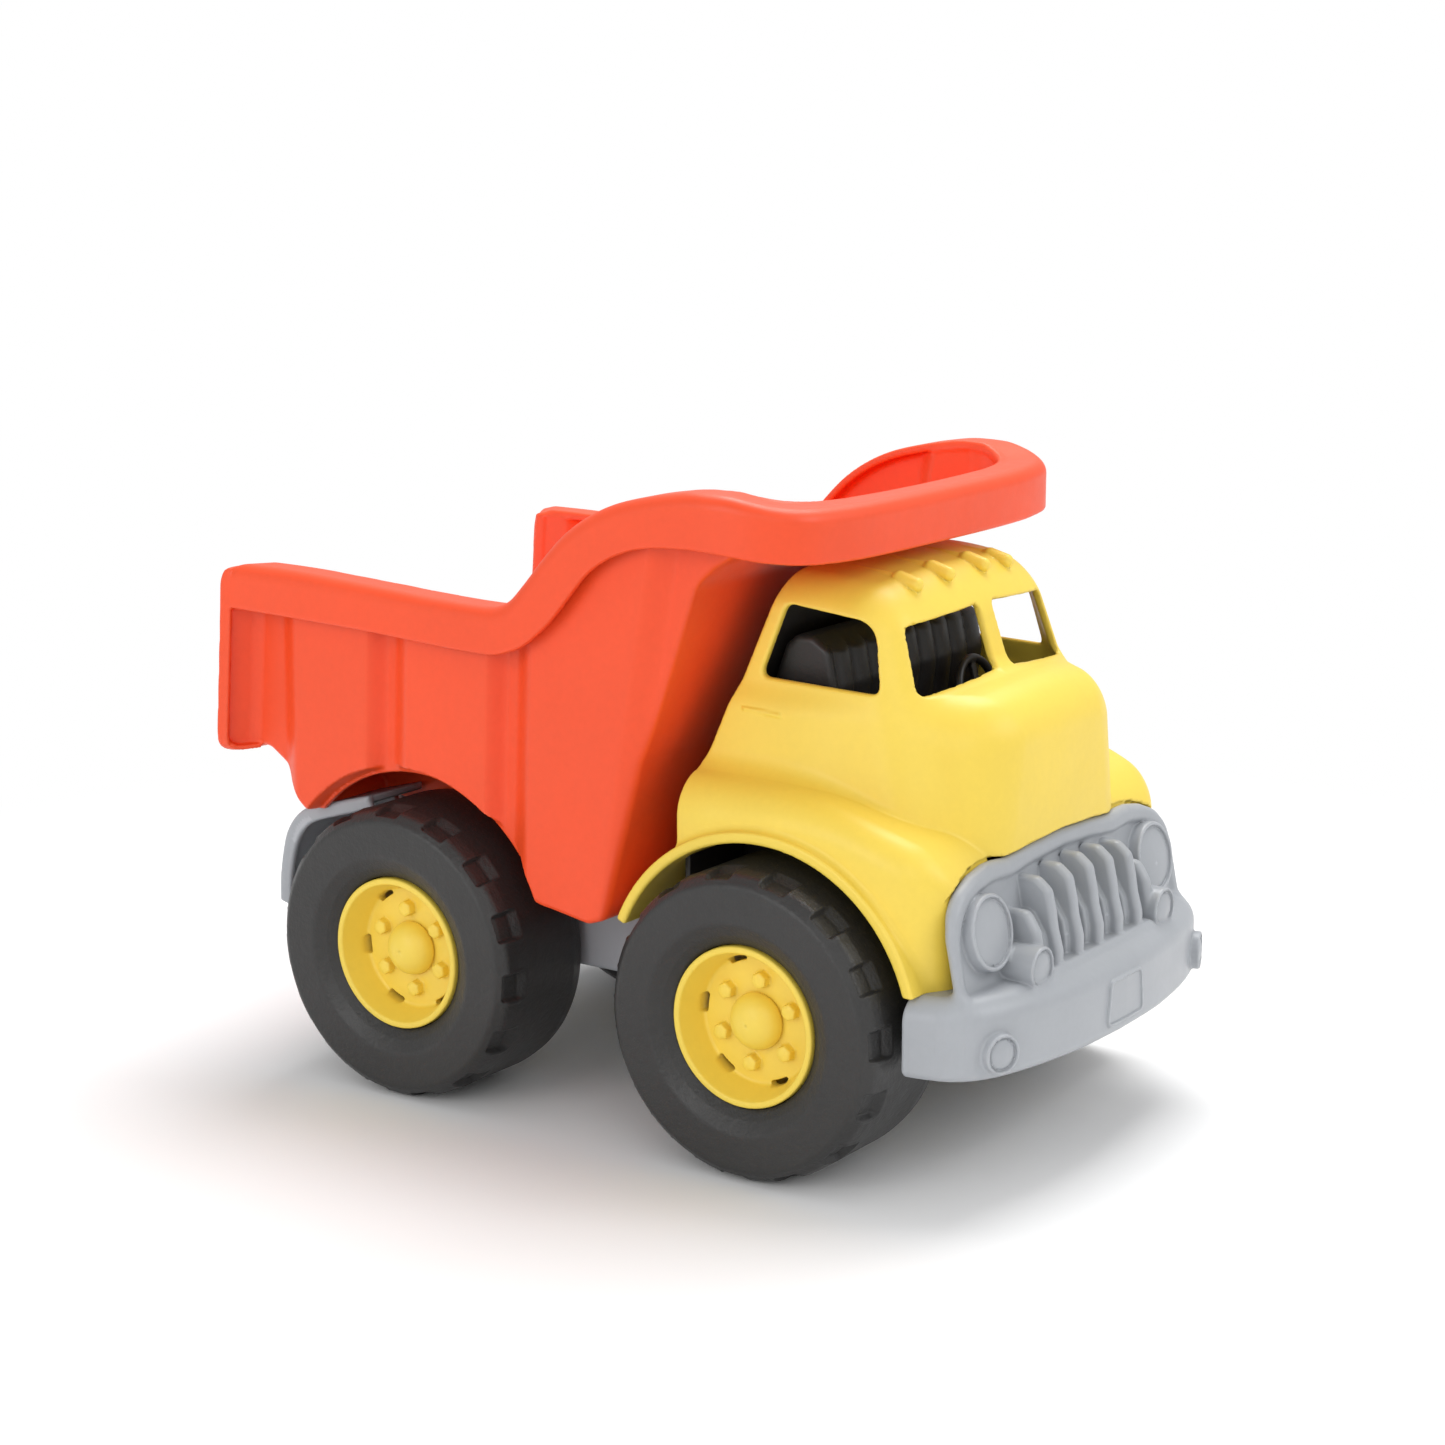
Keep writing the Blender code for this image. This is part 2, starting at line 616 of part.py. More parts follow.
# per section: distance from the centreline, inset of the ends, rise of the lower edge
PANEL_SHELL = [(68.5, -1.6, 0.0), (74.6, 0.8, 0.0)]
PANEL_HOLLOW = [(60.0, 2.4, 2.4), (72.1, 3.6, 2.6)]
# rim in plan, left side, rear to front: x where it runs straight, then its curve round
# to the bar as ((inner x, y), (outer x, y))
RIM_STRAIGHT_X = [bed_back(150.0), -110.0, -90.0, -72.0, -54.0, -40.0, -28.0, -21.0, -14.0, -8.0,
                  -2.0, 4.0, 10.0, 17.0, 25.0, 35.0, 45.0]
RIM_INNER_Y, RIM_OUTER_Y = 68.0, 80.0
RIM_CURVE = [((53.0, 66.2), (56.0, 79.4)), ((59.0, 62.5), (66.0, 76.4)),
             ((63.6, 57.0), (73.6, 70.0)), ((66.8, 49.0), (77.6, 60.0)),
             ((68.6, 36.0), (79.6, 42.0)), ((69.3, 18.0), (80.3, 20.0))]
RIM_MIDDLE = ((69.5, 0.0), (80.5, 0.0))
# (y, z) of the left flange at the rear
REAR_FLANGE = [(66.8, 99.4), (74.5, 98.8), (78.0, 100.6), (79.9, 104.6), (79.9, 155.0),
               (66.8, 155.0)]
# (x, z) of the rear wheel wells, each with its arc over the wheel
WELL_OUTSIDE = [(-116.2, 97.2), (-100.0, 98.0), (-86.0, 101.0),
                *arc(-AXLE_X, 48.4, 53.6, 90.0, 22.8, 8),
                (-10.0, 66.4), (-60.0, 76.0), (-104.0, 84.5), (-112.0, 92.0)]
WELL_INSIDE = [(-113.4, 93.0), (-100.0, 95.3), (-86.0, 98.3),
               *arc(-AXLE_X, 48.2, 51.0, 90.0, 22.8, 8),
               (-14.8, 60.0), (-110.0, 60.0), (-113.4, 86.5)]
# (x, z) of the hinge lugs, rounded under the pin
BED_LUG = [(-118.0, 97.6), *arc(HINGE_X, HINGE_Z, 5.6, 180, 360, 8), (-106.4, 86.2),
           (-112.0, 92.4)]


def side_panel(shape, side, layers):
    rear, front, slope, low_edge = shape
    rear_top, front_top = RIM_LOW(rear) + 6.0, RIM_LOW(front) + 6.0

    def sloped(x, z):
        return x + slope * (z - 110.0)

    sections = []
    for distance, inset, rise in layers:
        insets = [inset] + [0] * (len(low_edge) - 2) + [-inset]
        points = [(sloped(x, z) + shift, z + rise) for (x, z), shift in zip(low_edge, insets)]
        points += [(sloped(front, front_top) - inset, front_top),
                   (sloped(rear, rear_top) + inset, rear_top)]
        sections.append([(x, side * distance, z) for x, z in points])
    return loft("bed_panel", sections)


def rim_section(inner, outer):
    """A ledge with a band hanging from its outer edge."""
    top, low = RIM_TOP(outer[0]), RIM_LOW(outer[0])
    # (share of the way from inner to outer edge, z)
    profile = [(0.0, top - 1.2), (0.2, top), (0.68, top), (0.90, top - 1.6), (1.0, top - 5.0),
               (1.0, low), (0.8, low), (0.78, top - 5.6), (0.62, top - 2.6), (0.0, top - 3.9)]
    return [(inner[0] + share * (outer[0] - inner[0]), inner[1] + share * (outer[1] - inner[1]), z)
            for share, z in profile]


def bed_rim():
    """Rim up both sides and across the bar over the cab."""
    left = [((x, RIM_INNER_Y), (x, RIM_OUTER_Y)) for x in RIM_STRAIGHT_X] + RIM_CURVE
    right = [((ix, -iy), (ox, -oy)) for (ix, iy), (ox, oy) in left]
    path = right + [RIM_MIDDLE] + left[::-1]
    return loft("bed_rim", [rim_section(inner, outer) for inner, outer in path])


def rear_flange(side):
    flange = prism("rear_flange", [(side * y, z) for y, z in REAR_FLANGE], "YZ", -2.6, 0.0)
    return lean(flange, lambda z: bed_back(z) + 2.4)


def build_dump_bed():
    outside = TUB_OUTSIDE + [(x, RIM_TOP(x) - 2.0) for x in TUB_TOP_X]
    bed = prism("bed_tub", outside, "XZ", -70.0, 70.0)
    cut(bed, prism("bed_hollow", TUB_INSIDE, "XZ", -67.5, 67.5))
    # panels stand out from the sides and are hollow from the inside
    join(bed, *[side_panel(shape, side, PANEL_SHELL) for side in SIDES for shape in PANELS])
    cut(bed, *[side_panel(shape, side, PANEL_HOLLOW) for side in SIDES for shape in PANELS])
    join(bed, bed_rim(), *[rear_flange(side) for side in SIDES])
    # a raised hood over each rear wheel, then the arch cut through the side
    join(bed, *[prism("well_hood", WELL_OUTSIDE, "XZ", side * 36.4, side * 69.0)
                for side in SIDES])
    for side in SIDES:
        cut(bed,
            prism("well_space", WELL_INSIDE, "XZ", side * 39.0, side * 67.4),
            rod("well_arch", "Y", (-AXLE_X, side * 71.0, 48.0), 50.2, 12.0, 40))
    join(bed, *[prism("bed_lug", BED_LUG, "XZ", side * 13.0, side * 19.0) for side in SIDES])
    cut(bed, rod("bed_lug_bore", "Y", (HINGE_X, 0, HINGE_Z), PIN_R + 0.35, 44.0, 20))
    part(bed, "dump_bed", "orange", BED_PIVOT, HINGE)


# ---------------------------------------------------------------- chassis frame
# pockets open below: x of rear and front end, half width, top z
FRAME_POCKETS = [(-118.9, -88.0, 31.4, 54.4), (-85.4, -72.0, 31.4, 54.4),
                 (-54.0, -32.0, 31.4, 54.4), (-26.4, -9.2, 39.8, 57.9), (-6.6, 10.4, 39.8, 57.9),
                 (15.6, 53.0, 31.4, 54.4), (73.0, 92.0, 31.4, 54.4), (94.6, 113.4, 31.4, 54.4)]
# (x, z) of the rear mudguards' outer face going down and inner face going up
GUARD_OUT = [(-84.5, 87.4), (-98.0, 83.8), (-108.0, 81.0), (-113.2, 78.0), (-117.0, 73.6),
             (-119.4, 68.0), (-121.4, 58.0), (-121.9, 49.0)]
GUARD_IN = [(-119.2, 49.0), (-118.8, 58.0), (-116.9, 67.0), (-114.6, 72.2), (-111.4, 76.0),
            (-107.0, 78.4), (-97.4, 81.4), (-84.5, 85.0)]
GUARD_SPLIT_X = -104.5
GUARD_BACK = [(x, z) for x, z in GUARD_OUT + GUARD_IN if x < GUARD_SPLIT_X]
GUARD_TOP = GUARD_OUT[:4] + GUARD_IN[4:]
GUARD_WEB = [(-121.0, 50.0), (-120.6, 58.0), (-118.4, 67.0), (-115.8, 73.0), (-112.2, 77.0),
             (-107.0, 79.6), (-103.0, 79.4), (-94.0, 56.0), (-94.0, 50.0)]
# (x, z) of the hinge ears, rounded over the pin
HINGE_EAR = [(-121.0, 55.0), (-117.4, 80.0), *arc(HINGE_X, HINGE_Z, 5.4, 180, 0, 8),
             (-106.0, 74.0), (-99.0, 55.0)]
REST_REAR_X, REST_FRONT_X = -26.0, -18.0


def bed_floor(x):
    """Underside of the bed's floor."""
    return 82.3 - 0.1752 * (x + 104.0)


def build_chassis_frame():
    frame = box("frame_spine", (-121.5, 116.0), (-34.0, 34.0), (38.0, 57.0))
    side_boxes = box("side_boxes", (-29.0, 13.0), (-42.4, 42.4), (38.6, 60.5))
    join(frame, bevel(side_boxes, width=1.2, segments=2))
    for rear, front, half_width, top in FRAME_POCKETS:
        cut(frame, box("pocket", (rear, front), (-half_width, half_width), (30.0, top)))
    for x in (-AXLE_X, AXLE_X):
        cut(frame, box("bearing_pocket", (x - 6.4, x + 6.4), (-26.0, 26.0), (30.0, 54.4)))
        join(frame, rod("bearing_boss", "Y", (x, 0, AXLE_Z), 6.5, 79.0, 20))
        cut(frame,
            box("bearing_gap", (x - 9, x + 9), (-26.0, 26.0), (30.0, 54.4)),
            rod("axle_bore", "Y", (x, 0, AXLE_Z), BORE_R, 90.0, 20))
    for side in SIDES:
        join(frame,
             prism("guard_back", GUARD_BACK, "XZ", side * 31.5, side * 67.0),
             prism("guard_top", GUARD_TOP, "XZ", side * 41.0, side * 67.0),
             prism("guard_web", GUARD_WEB, "XZ", side * 31.4, side * 34.0),
             prism("hinge_ear", HINGE_EAR, "XZ", side * 20.0, side * 25.5))
    cut(frame, rod("ear_bore", "Y", (HINGE_X, 0, HINGE_Z), PIN_R + 0.30, 60.0, 20))
    join(frame, box("bed_rest", (REST_REAR_X, REST_FRONT_X), (-20.0, 20.0),
                    (59.0, bed_floor(REST_FRONT_X) - 0.5)))
    cut(frame, *upright_rods("screw_hole", CAB_SCREWS + GRILLE_SCREWS, 56.0, SCREW_HOLE_R, 10.0,
                             10))
    part(frame, "chassis_frame", "grey")


# ---------------------------------------------------------------- cab interior
# (x, z) of the floor and bench seat
SEAT_SIDE = [(36.8, 67.0), (100.0, 67.0), (100.0, 69.6), (78.0, 69.6), (75.0, 99.0),
             (64.5, 101.0), (68.2, 134.0), (66.0, 144.6), (61.5, 148.4), (55.8, 148.2),
             (52.0, 145.2), (49.0, 137.0), (37.4, 101.0), (36.8, 90.0)]
# (x, z) of the dashboard
DASH_SIDE = [(86.0, 69.0), (95.0, 69.0), (95.0, 118.0), (94.4, 128.6), (88.0, 131.0),
             (82.0, 127.5), (81.0, 121.0), (86.0, 114.0)]
FLUTES, FLUTE_PITCH, FIRST_FLUTE_Y = 7, 11.0, -33.0


def build_cab_interior():
    seat = bevel(prism("seat_block", SEAT_SIDE, "XZ", -38.5, 38.5), width=1.2, segments=2)
    cut(seat, *[rod("flute", "Z", (73.6, FIRST_FLUTE_Y + FLUTE_PITCH * k, 125.0), 5.4, 46.0, 12)
                for k in range(FLUTES)])
    join(seat, prism("dash", DASH_SIDE, "XZ", -36.0, 36.0))
    cut(seat,
        box("seat_underside", (42.0, 72.0), (-35.5, 35.5), (60.0, 92.0)),
        box("dash_underside", (88.2, 92.8), (-33.5, 33.5), (60.0, 115.0)))
    join(seat, rod("column_boss", "X", (84.0, STEER_Y, STEER_Z), 3.2, 7.0, 12))
    cut(seat,
        rod("column_bore", "X", (80.0, STEER_Y, STEER_Z), 1.6, 7.0, 12),
        *upright_rods("boss_clearance", CAB_SCREWS, 76.0, 5.0, 30.0, 14))
    part(seat, "cab_interior", "black")


def steering_ring():
    bpy.ops.mesh.primitive_torus_add(major_radius=10.2, minor_radius=1.3, major_segments=24,
                                     minor_segments=8)
    ring = take_active("wheel_ring")
    ring.data.transform(Matrix.Translation(at(78.2, STEER_Y, STEER_Z)) @ AXIS_TURN["X"])
    return ring


def steering_spoke(angle):
    """A flat spoke outwards from the core, at an angle in degrees from +Y."""
    spoke = box("wheel_spoke", (0, 1.6), (-1.2, 1.2), (0.0, 10.0))
    spoke.data.transform(Matrix.Translation(at(77.8, STEER_Y, STEER_Z))
                         @ Matrix.Rotation(math.radians(angle - 90), 4, "X")
                         @ Matrix.Translation(-at(0, 0, 0)))
    return spoke


def build_steering_wheel():
    wheel = rod("wheel_core", "X", (78.6, STEER_Y, STEER_Z), 3.0, 2.6, 12)
    join(wheel,
         steering_ring(),
         *[steering_spoke(angle) for angle in (90, 210, 330)],
         rod("wheel_stem", "X", (80.4, STEER_Y, STEER_Z), 1.25, 4.6, 10))
    part(wheel, "steering_wheel", "black")


# ---------------------------------------------------------------- wheels
# profiles as (radius, distance from the truck's centreline)
TYRE = [(23.5, 79.0), (29.0, TYRE_OUT), (41.2, TYRE_OUT), (44.0, 79.8), (TYRE_R, 75.0),
        (TYRE_R, 51.5), (44.0, 46.8), (41.2, TYRE_IN), (30.0, TYRE_IN), (23.5, 44.2),
        (23.5, 46.9), (41.5, 46.6), (41.5, 79.6), (29.6, 80.4), (23.5, 76.0)]
HUB = [(BORE_R, 71.6), (18.4, 71.6), (21.4, 80.7), (23.1, 80.7), (23.1, 42.7), (25.4, 42.7),
       (25.4, 40.6), (20.6, 40.6), (20.4, 68.9), (6.6, 68.9), (6.6, 44.0), (BORE_R, 44.0)]
CAP = [(0.0, 78.6), (3.4, 78.0), (6.2, 76.1), (7.9, 73.4), (8.3, 71.9), (6.3, 71.9),
       (5.9, 73.8), (4.4, 75.6), (0.0, 76.6)]
NUTS, NUT_CIRCLE_R = 6, 12.6


def hub_nut(index):
    angle = math.radians(360 // NUTS * index + 30)
    centre = (AXLE_X + NUT_CIRCLE_R * math.sin(angle), 72.8,
              AXLE_Z + NUT_CIRCLE_R * math.cos(angle))
    return rod("hub_nut", "Y", centre, 2.2, 4.4, 6)


def build_front_left_wheel(axis, origin):
    centre = (AXLE_X, 0, AXLE_Z)
    tyre = turned("tyre_ring", TYRE, 28, centre)
    hub = turned("hub_dish", HUB, 20, centre)
    join(hub, *[hub_nut(k) for k in range(NUTS)])
    cap = turned("cap_dome", CAP, 12, centre)
    return {
        "tyre": part(tyre, "front_left_tyre", "black", axis, origin),
        "hub": part(hub, "front_left_hub", "yellow", axis, origin),
        "hub_cap": part(cap, "front_left_hub_cap", "yellow", axis, origin),
    }


def build_wheels():
    """One modelled wheel; the rest share its meshes, the right ones turned half a turn."""
    pieces = None
    for end, end_sign in (("front", 1), ("rear", -1)):
        for side_name, side in zip(("left", "right"), SIDES):
            origin = at(end_sign * AXLE_X, 0, AXLE_Z) * METRE
            axis = add_empty(f"{end}_{side_name}_wheel_axis", origin, TRUCK)
            if pieces is None:
                pieces = build_front_left_wheel(axis, origin)
                continue
            for kind, source in pieces.items():
                twin = bpy.data.objects.new(f"{end}_{side_name}_{kind}", source.data)
                PARTS.objects.link(twin)
                attach(twin, axis, origin)
                if side < 0:
                    twin.rotation_euler = (0, 0, math.pi)


# ---------------------------------------------------------------- axles, hinge pin and screws
def build_axle(end, x):
    axle = rod(f"{end}_axle_rod", "Y", (x, 0, AXLE_Z), AXLE_R, AXLE_LENGTH, 18)
    part(bevel(axle, width=0.5, segments=1), f"{end}_axle", "black")


def build_hinge_pin():
    pin = rod("pin_shank", "Y", (HINGE_X, 0, HINGE_Z), PIN_R, 53.0, 18)
    join(pin, rod("pin_head", "Y", (HINGE_X, 27.6, HINGE_Z), 4.2, 3.0, 18))
    part(pin, "bed_hinge_pin", "black")


def build_screws(name, places, length):
    """Screws driven upwards, heads below the seat."""
    for number, (x, y) in enumerate(places, start=1):
        screw = rod("screw_shank", "Z", (x, y, SCREW_SEAT_Z + 0.5 * length), 1.2, length, 10)
        join(screw, rod("screw_head", "Z", (x, y, SCREW_SEAT_Z - 0.9), 2.7, 1.8, 12))
        part(screw, f"{name}_{number}", "steel")


build_cab_shell()
build_grille_bumper()
build_dump_bed()
build_chassis_frame()
build_cab_interior()
build_steering_wheel()
build_wheels()
build_axle("front", AXLE_X)
build_axle("rear", -AXLE_X)
build_hinge_pin()
build_screws("cab_screw", CAB_SCREWS, 10.0)
build_screws("grille_screw", GRILLE_SCREWS, 8.4)
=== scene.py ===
import math

import bmesh
import bpy
import numpy as np
from mathutils import Matrix, Vector

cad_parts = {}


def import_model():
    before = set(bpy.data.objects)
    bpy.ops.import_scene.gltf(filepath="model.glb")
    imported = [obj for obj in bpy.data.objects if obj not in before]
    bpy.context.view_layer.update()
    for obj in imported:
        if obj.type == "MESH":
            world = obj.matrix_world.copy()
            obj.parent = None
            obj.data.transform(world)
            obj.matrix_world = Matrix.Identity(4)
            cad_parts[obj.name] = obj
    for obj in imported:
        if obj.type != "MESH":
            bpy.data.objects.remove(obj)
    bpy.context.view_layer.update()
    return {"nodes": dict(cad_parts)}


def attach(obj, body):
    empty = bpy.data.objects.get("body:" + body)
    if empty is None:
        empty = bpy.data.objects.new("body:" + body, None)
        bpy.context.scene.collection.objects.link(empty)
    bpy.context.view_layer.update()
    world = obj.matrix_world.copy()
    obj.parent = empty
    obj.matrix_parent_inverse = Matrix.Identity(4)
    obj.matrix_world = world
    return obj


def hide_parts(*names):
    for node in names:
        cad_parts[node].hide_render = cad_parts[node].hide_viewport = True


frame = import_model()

MM = 0.001
SHIFT_X = -2.95                          # from design x to scene x
COARSE = 1.0      # mesh coarsening

# Dimensions shared between pieces
AXLE_X, AXLE_Z = 63, 44.55               # axles lie at +-AXLE_X
AXLE_BORE = 3.35
HINGE = (-112, 80)                       # bed hinge, x and z
CAB_WALL = 2.6
SCREW_HOLE = 1.5
CAB_SCREWS = [(42, 22, 63.5), (101, 22, 91.5)]   # x, y, top of the boss
GRILLE_SCREW = (109.5, 18)               # x, y
COLUMN = (21, 124.4)                     # steering column, y and z
STEERING = (78.4, 21, 124.6)             # centre of the steering wheel


# ------------------------------------------------------------------ fields
def union(a, b, r):
    """Union with a fillet of radius r."""
    return (np.maximum(r, np.minimum(a, b))
            - np.hypot(np.maximum(r - a, 0), np.maximum(r - b, 0)))


def meet(a, b, r):
    """Intersection with a rounded edge of radius r."""
    return (np.minimum(-r, np.maximum(a, b))
            + np.hypot(np.maximum(r + a, 0), np.maximum(r + b, 0)))


def carve(a, b, r):
    """a with b taken away."""
    return meet(a, -b, r)


def ramp(x, start, end):
    t = np.clip((x - start) / (end - start), 0, 1)
    return t * t * (3 - 2 * t)


def slab(v, low, high):
    return np.abs(v - 0.5 * (low + high)) - 0.5 * (high - low)


def block(x, y, z, x_span, y_span, z_span, r):
    return meet(meet(slab(x, *x_span), slab(y, *y_span), r), slab(z, *z_span), r)


def dist(u, v, centre):
    return np.hypot(u - centre[0], v - centre[1])


def taper(x, y, z, start, end, r_start, r_end):
    """Round-ended taper between two points."""
    ax, ay, az = start
    ex, ey, ez = (b - a for a, b in zip(start, end))
    t = ((x - ax) * ex + (y - ay) * ey + (z - az) * ez) / (ex * ex + ey * ey + ez * ez)
    t = np.clip(t, 0, 1)
    gap = np.sqrt((x - ax - t * ex) ** 2 + (y - ay - t * ey) ** 2 + (z - az - t * ez) ** 2)
    return gap - (r_start + t * (r_end - r_start))


def polygon_distance(u, v, pts):
    """Signed distance to a closed outline, negative inside."""
    square = np.full(np.broadcast(u, v).shape, 1e12)
    inside = np.zeros(square.shape, bool)
    for (ax, ay), (bx, by) in zip(pts, np.roll(pts, -1, axis=0)):
        ex, ey = bx - ax, by - ay
        if ex * ex + ey * ey < 1e-12:
            continue
        wx, wy = u - ax, v - ay
        t = np.clip((wx * ex + wy * ey) / (ex * ex + ey * ey), 0, 1)
        square = np.minimum(square, (wx - ex * t) ** 2 + (wy - ey * t) ** 2)
        if abs(ey) > 1e-12:
            band = (v >= min(ay, by)) & (v < max(ay, by))
            inside ^= band & (u < ax + (v - ay) / ey * ex)
    return np.where(inside, -1.0, 1.0) * np.sqrt(square)


class Outline:
    """A closed outline as a distance table, read back with bilinear interpolation."""

    def __init__(self, pts, step=0.3, pad=14):
        pts = np.asarray(pts, float)
        self.low = pts.min(0) - pad
        self.count = np.ceil((pts.max(0) + pad - self.low) / step).astype(int) + 1
        self.step = step
        u = self.low[0] + np.arange(self.count[0]) * step
        v = self.low[1] + np.arange(self.count[1]) * step
        self.table = polygon_distance(u[:, None], v[None, :], pts)

    def __call__(self, u, v):
        a = (u - self.low[0]) / self.step
        b = (v - self.low[1]) / self.step
        a_in = np.clip(a, 0, self.count[0] - 1.001)
        b_in = np.clip(b, 0, self.count[1] - 1.001)
        i, j = a_in.astype(int), b_in.astype(int)
        s, t = a_in - i, b_in - j
        d = self.table
        near = d[i, j] * (1 - s) + d[i + 1, j] * s
        far = d[i, j + 1] * (1 - s) + d[i + 1, j + 1] * s
        return near * (1 - t) + far * t + np.hypot(a - a_in, b - b_in) * self.step


def smooth_curve(xs, ys):
    """Monotone cubic through points, as a function."""
    xs, ys = np.array(xs, float), np.array(ys, float)
    width = np.diff(xs)
    rise = np.diff(ys) / width
    slope = np.zeros_like(ys)
    slope[0], slope[-1] = rise[0], rise[-1]
    for i in range(1, len(xs) - 1):
        a, b = rise[i - 1], rise[i]
        slope[i] = 0.0 if a * b <= 0 else 2 * a * b / (a + b)

    def curve(x):
        x = np.clip(x, xs[0], xs[-1])
        i = np.clip(np.searchsorted(xs, x) - 1, 0, len(width) - 1)
        t = (x - xs[i]) / width[i]
        return ((1 + 2 * t) * (1 - t) ** 2 * ys[i] + t * (1 - t) ** 2 * width[i] * slope[i]
                + t * t * (3 - 2 * t) * ys[i + 1] + t * t * (t - 1) * width[i] * slope[i + 1])
    return curve


def fillet(rows, seg, closed=True):
    """Rounds each corner of a line; rows are (u, v, corner radius)."""
    pts = [Vector(row[:2]) for row in rows]
    count = len(pts)
    out = []
    for i, p in enumerate(pts):
        radius = rows[i][2]
        a, b = pts[i - 1] - p, pts[(i + 1) % count] - p
        len_a, len_b = a.length, b.length
        is_end = not closed and i in (0, count - 1)
        if is_end or radius < 1e-6 or len_a < 1e-9 or len_b < 1e-9:
            out.append(tuple(p))
            continue
        a, b = a / len_a, b / len_b
        half = 0.5 * math.acos(max(-1, min(1, a.dot(b))))
        if half > math.radians(87):
            out.append(tuple(p))
            continue
        trim = min(radius / math.tan(half), 0.48 * len_a, 0.48 * len_b)
        start, end = p + a * trim, p + b * trim
        for k in range(seg + 1):
            w = k / seg
            out.append(tuple(start * (1 - w) ** 2 + p * 2 * w * (1 - w) + end * w ** 2))
    return out


def rounded(rows, seg, step, pad=14):
    return Outline(fillet(rows, seg), step, pad)


def spline(pts, n):
    """Catmull-Rom line through points, n steps to a span."""
    p = [Vector(q) for q in pts]
    p = [2 * p[0] - p[1]] + p + [2 * p[-1] - p[-2]]
    out = []
    for a, b, c, d in zip(p, p[1:], p[2:], p[3:]):
        for k in range(n):
            t = k / n
            out.append(tuple(0.5 * (2 * b + (c - a) * t + (2 * a - 5 * b + 4 * c - d) * t * t
                                    + (3 * b - a - 3 * c + d) * t ** 3)))
    out.append(tuple(p[-2]))
    return out


def arc(centre, radius, angles):
    return [(centre[0] + radius * math.cos(a), centre[1] + radius * math.sin(a))
            for a in angles]


# ------------------------------------------------------------------ meshing
# the twelve edges of a unit cell, as pairs of corners
CELL_EDGES = [(np.insert([a, b], axis, 0), np.insert([a, b], axis, 1))
              for axis in range(3) for b in (0, 1) for a in (0, 1)]
PULL_STEPS = 3


def gradient(field, p, e=0.12):
    x, y, z = p.T
    return np.stack([field(x + e, y, z) - field(x - e, y, z),
                     field(x, y + e, z) - field(x, y - e, z),
                     field(x, y, z + e) - field(x, y, z - e)], 1) / (2 * e)


def sample(field, xs, ys, zs):
    values = field(xs[:, None, None], ys[None, :, None], zs[None, None, :])
    return np.broadcast_to(values, (len(xs), len(ys), len(zs))).astype(np.float32)


def crossing_quads(inside, index):
    """One quad round every grid edge that crosses the surface, facing outwards."""
    quads = []
    for axis, (u, v) in enumerate(((1, 2), (2, 0), (0, 1))):
        first, second = [slice(None)] * 3, [slice(None)] * 3
        first[axis], second[axis] = slice(None, -1), slice(1, None)
        a, b = inside[tuple(first)], inside[tuple(second)]
        core = [slice(None)] * 3
        core[u] = core[v] = slice(1, -1)
        edge = list(np.nonzero((a != b)[tuple(core)]))
        edge[u], edge[v] = edge[u] + 1, edge[v] + 1

        def cell_at(du, dv):
            cell = list(edge)
            cell[u], cell[v] = edge[u] + du, edge[v] + dv
            return index[tuple(cell)]

        quad = np.stack([cell_at(-1, -1), cell_at(0, -1), cell_at(0, 0), cell_at(-1, 0)], 1)
        flip = ~a[tuple(edge)]
        quad[flip] = quad[flip][:, ::-1]
        quads.append(quad)
    quads = np.concatenate(quads)
    return quads[(quads >= 0).all(1)]


def pull(field, start, cell):
    """Moves points onto the surface along the gradient, never far from where they began."""
    p = start.copy()
    for _ in range(PULL_STEPS):
        slope = gradient(field, p)
        square = (slope * slope).sum(1) + 1e-6
        step = -(field(*p.T) / square)[:, None] * slope
        length = np.linalg.norm(step, axis=1) + 1e-12
        p = p + step * np.minimum(1.0, 0.6 * cell / length)[:, None]
    off = p - start
    length = np.linalg.norm(off, axis=1) + 1e-12
    return start + off * np.minimum(1.0, 1.1 * cell / length)[:, None]


def surface(field, low, high, cell, mirror=True):
    """Meshes field = 0 with one vertex per crossed cell; returns points, quads, normals."""
    cell = cell * COARSE
    xs = np.arange(low[0], high[0] + cell, cell)
    zs = np.arange(low[2], high[2] + cell, cell)
    if mirror:
        n = int(math.ceil(high[1] / cell)) + 1
        ys = np.arange(-n, n + 1) * cell
        half = sample(field, xs, ys[n:], zs)
        values = np.concatenate([half[:, :0:-1], half], axis=1)
    else:
        ys = np.arange(low[1], high[1] + cell, cell)
        values = sample(field, xs, ys, zs)
    values = np.where(values == 0, np.float32(1e-6), values)
    inside = values < 0
    nx, ny, nz = inside.shape
    corners = np.zeros((nx - 1, ny - 1, nz - 1), np.uint8)
    for a, b, c in np.ndindex(2, 2, 2):
        corners += inside[a:nx - 1 + a, b:ny - 1 + b, c:nz - 1 + c]
    cells = np.stack(np.nonzero((corners > 0) & (corners < 8)), 1)
    index = np.full(corners.shape, -1, np.int64)
    index[tuple(cells.T)] = np.arange(len(cells))
    total, hits = np.zeros((len(cells), 3)), np.zeros(len(cells))
    for a, b in CELL_EDGES:
        value_a, value_b = values[tuple((cells + a).T)], values[tuple((cells + b).T)]
        cross = (value_a < 0) != (value_b < 0)
        t = (value_a[cross] / (value_a[cross] - value_b[cross])).astype(float)
        total[cross] += a + t[:, None] * (b - a)
        hits[cross] += 1
    start = np.array([xs[0], ys[0], zs[0]]) + (cells + total / hits[:, None]) * cell
    p = pull(field, start, cell)
    normals = gradient(field, p, 0.2)
    normals /= (np.linalg.norm(normals, axis=1) + 1e-9)[:, None]
    return p, crossing_quads(inside, index), normals


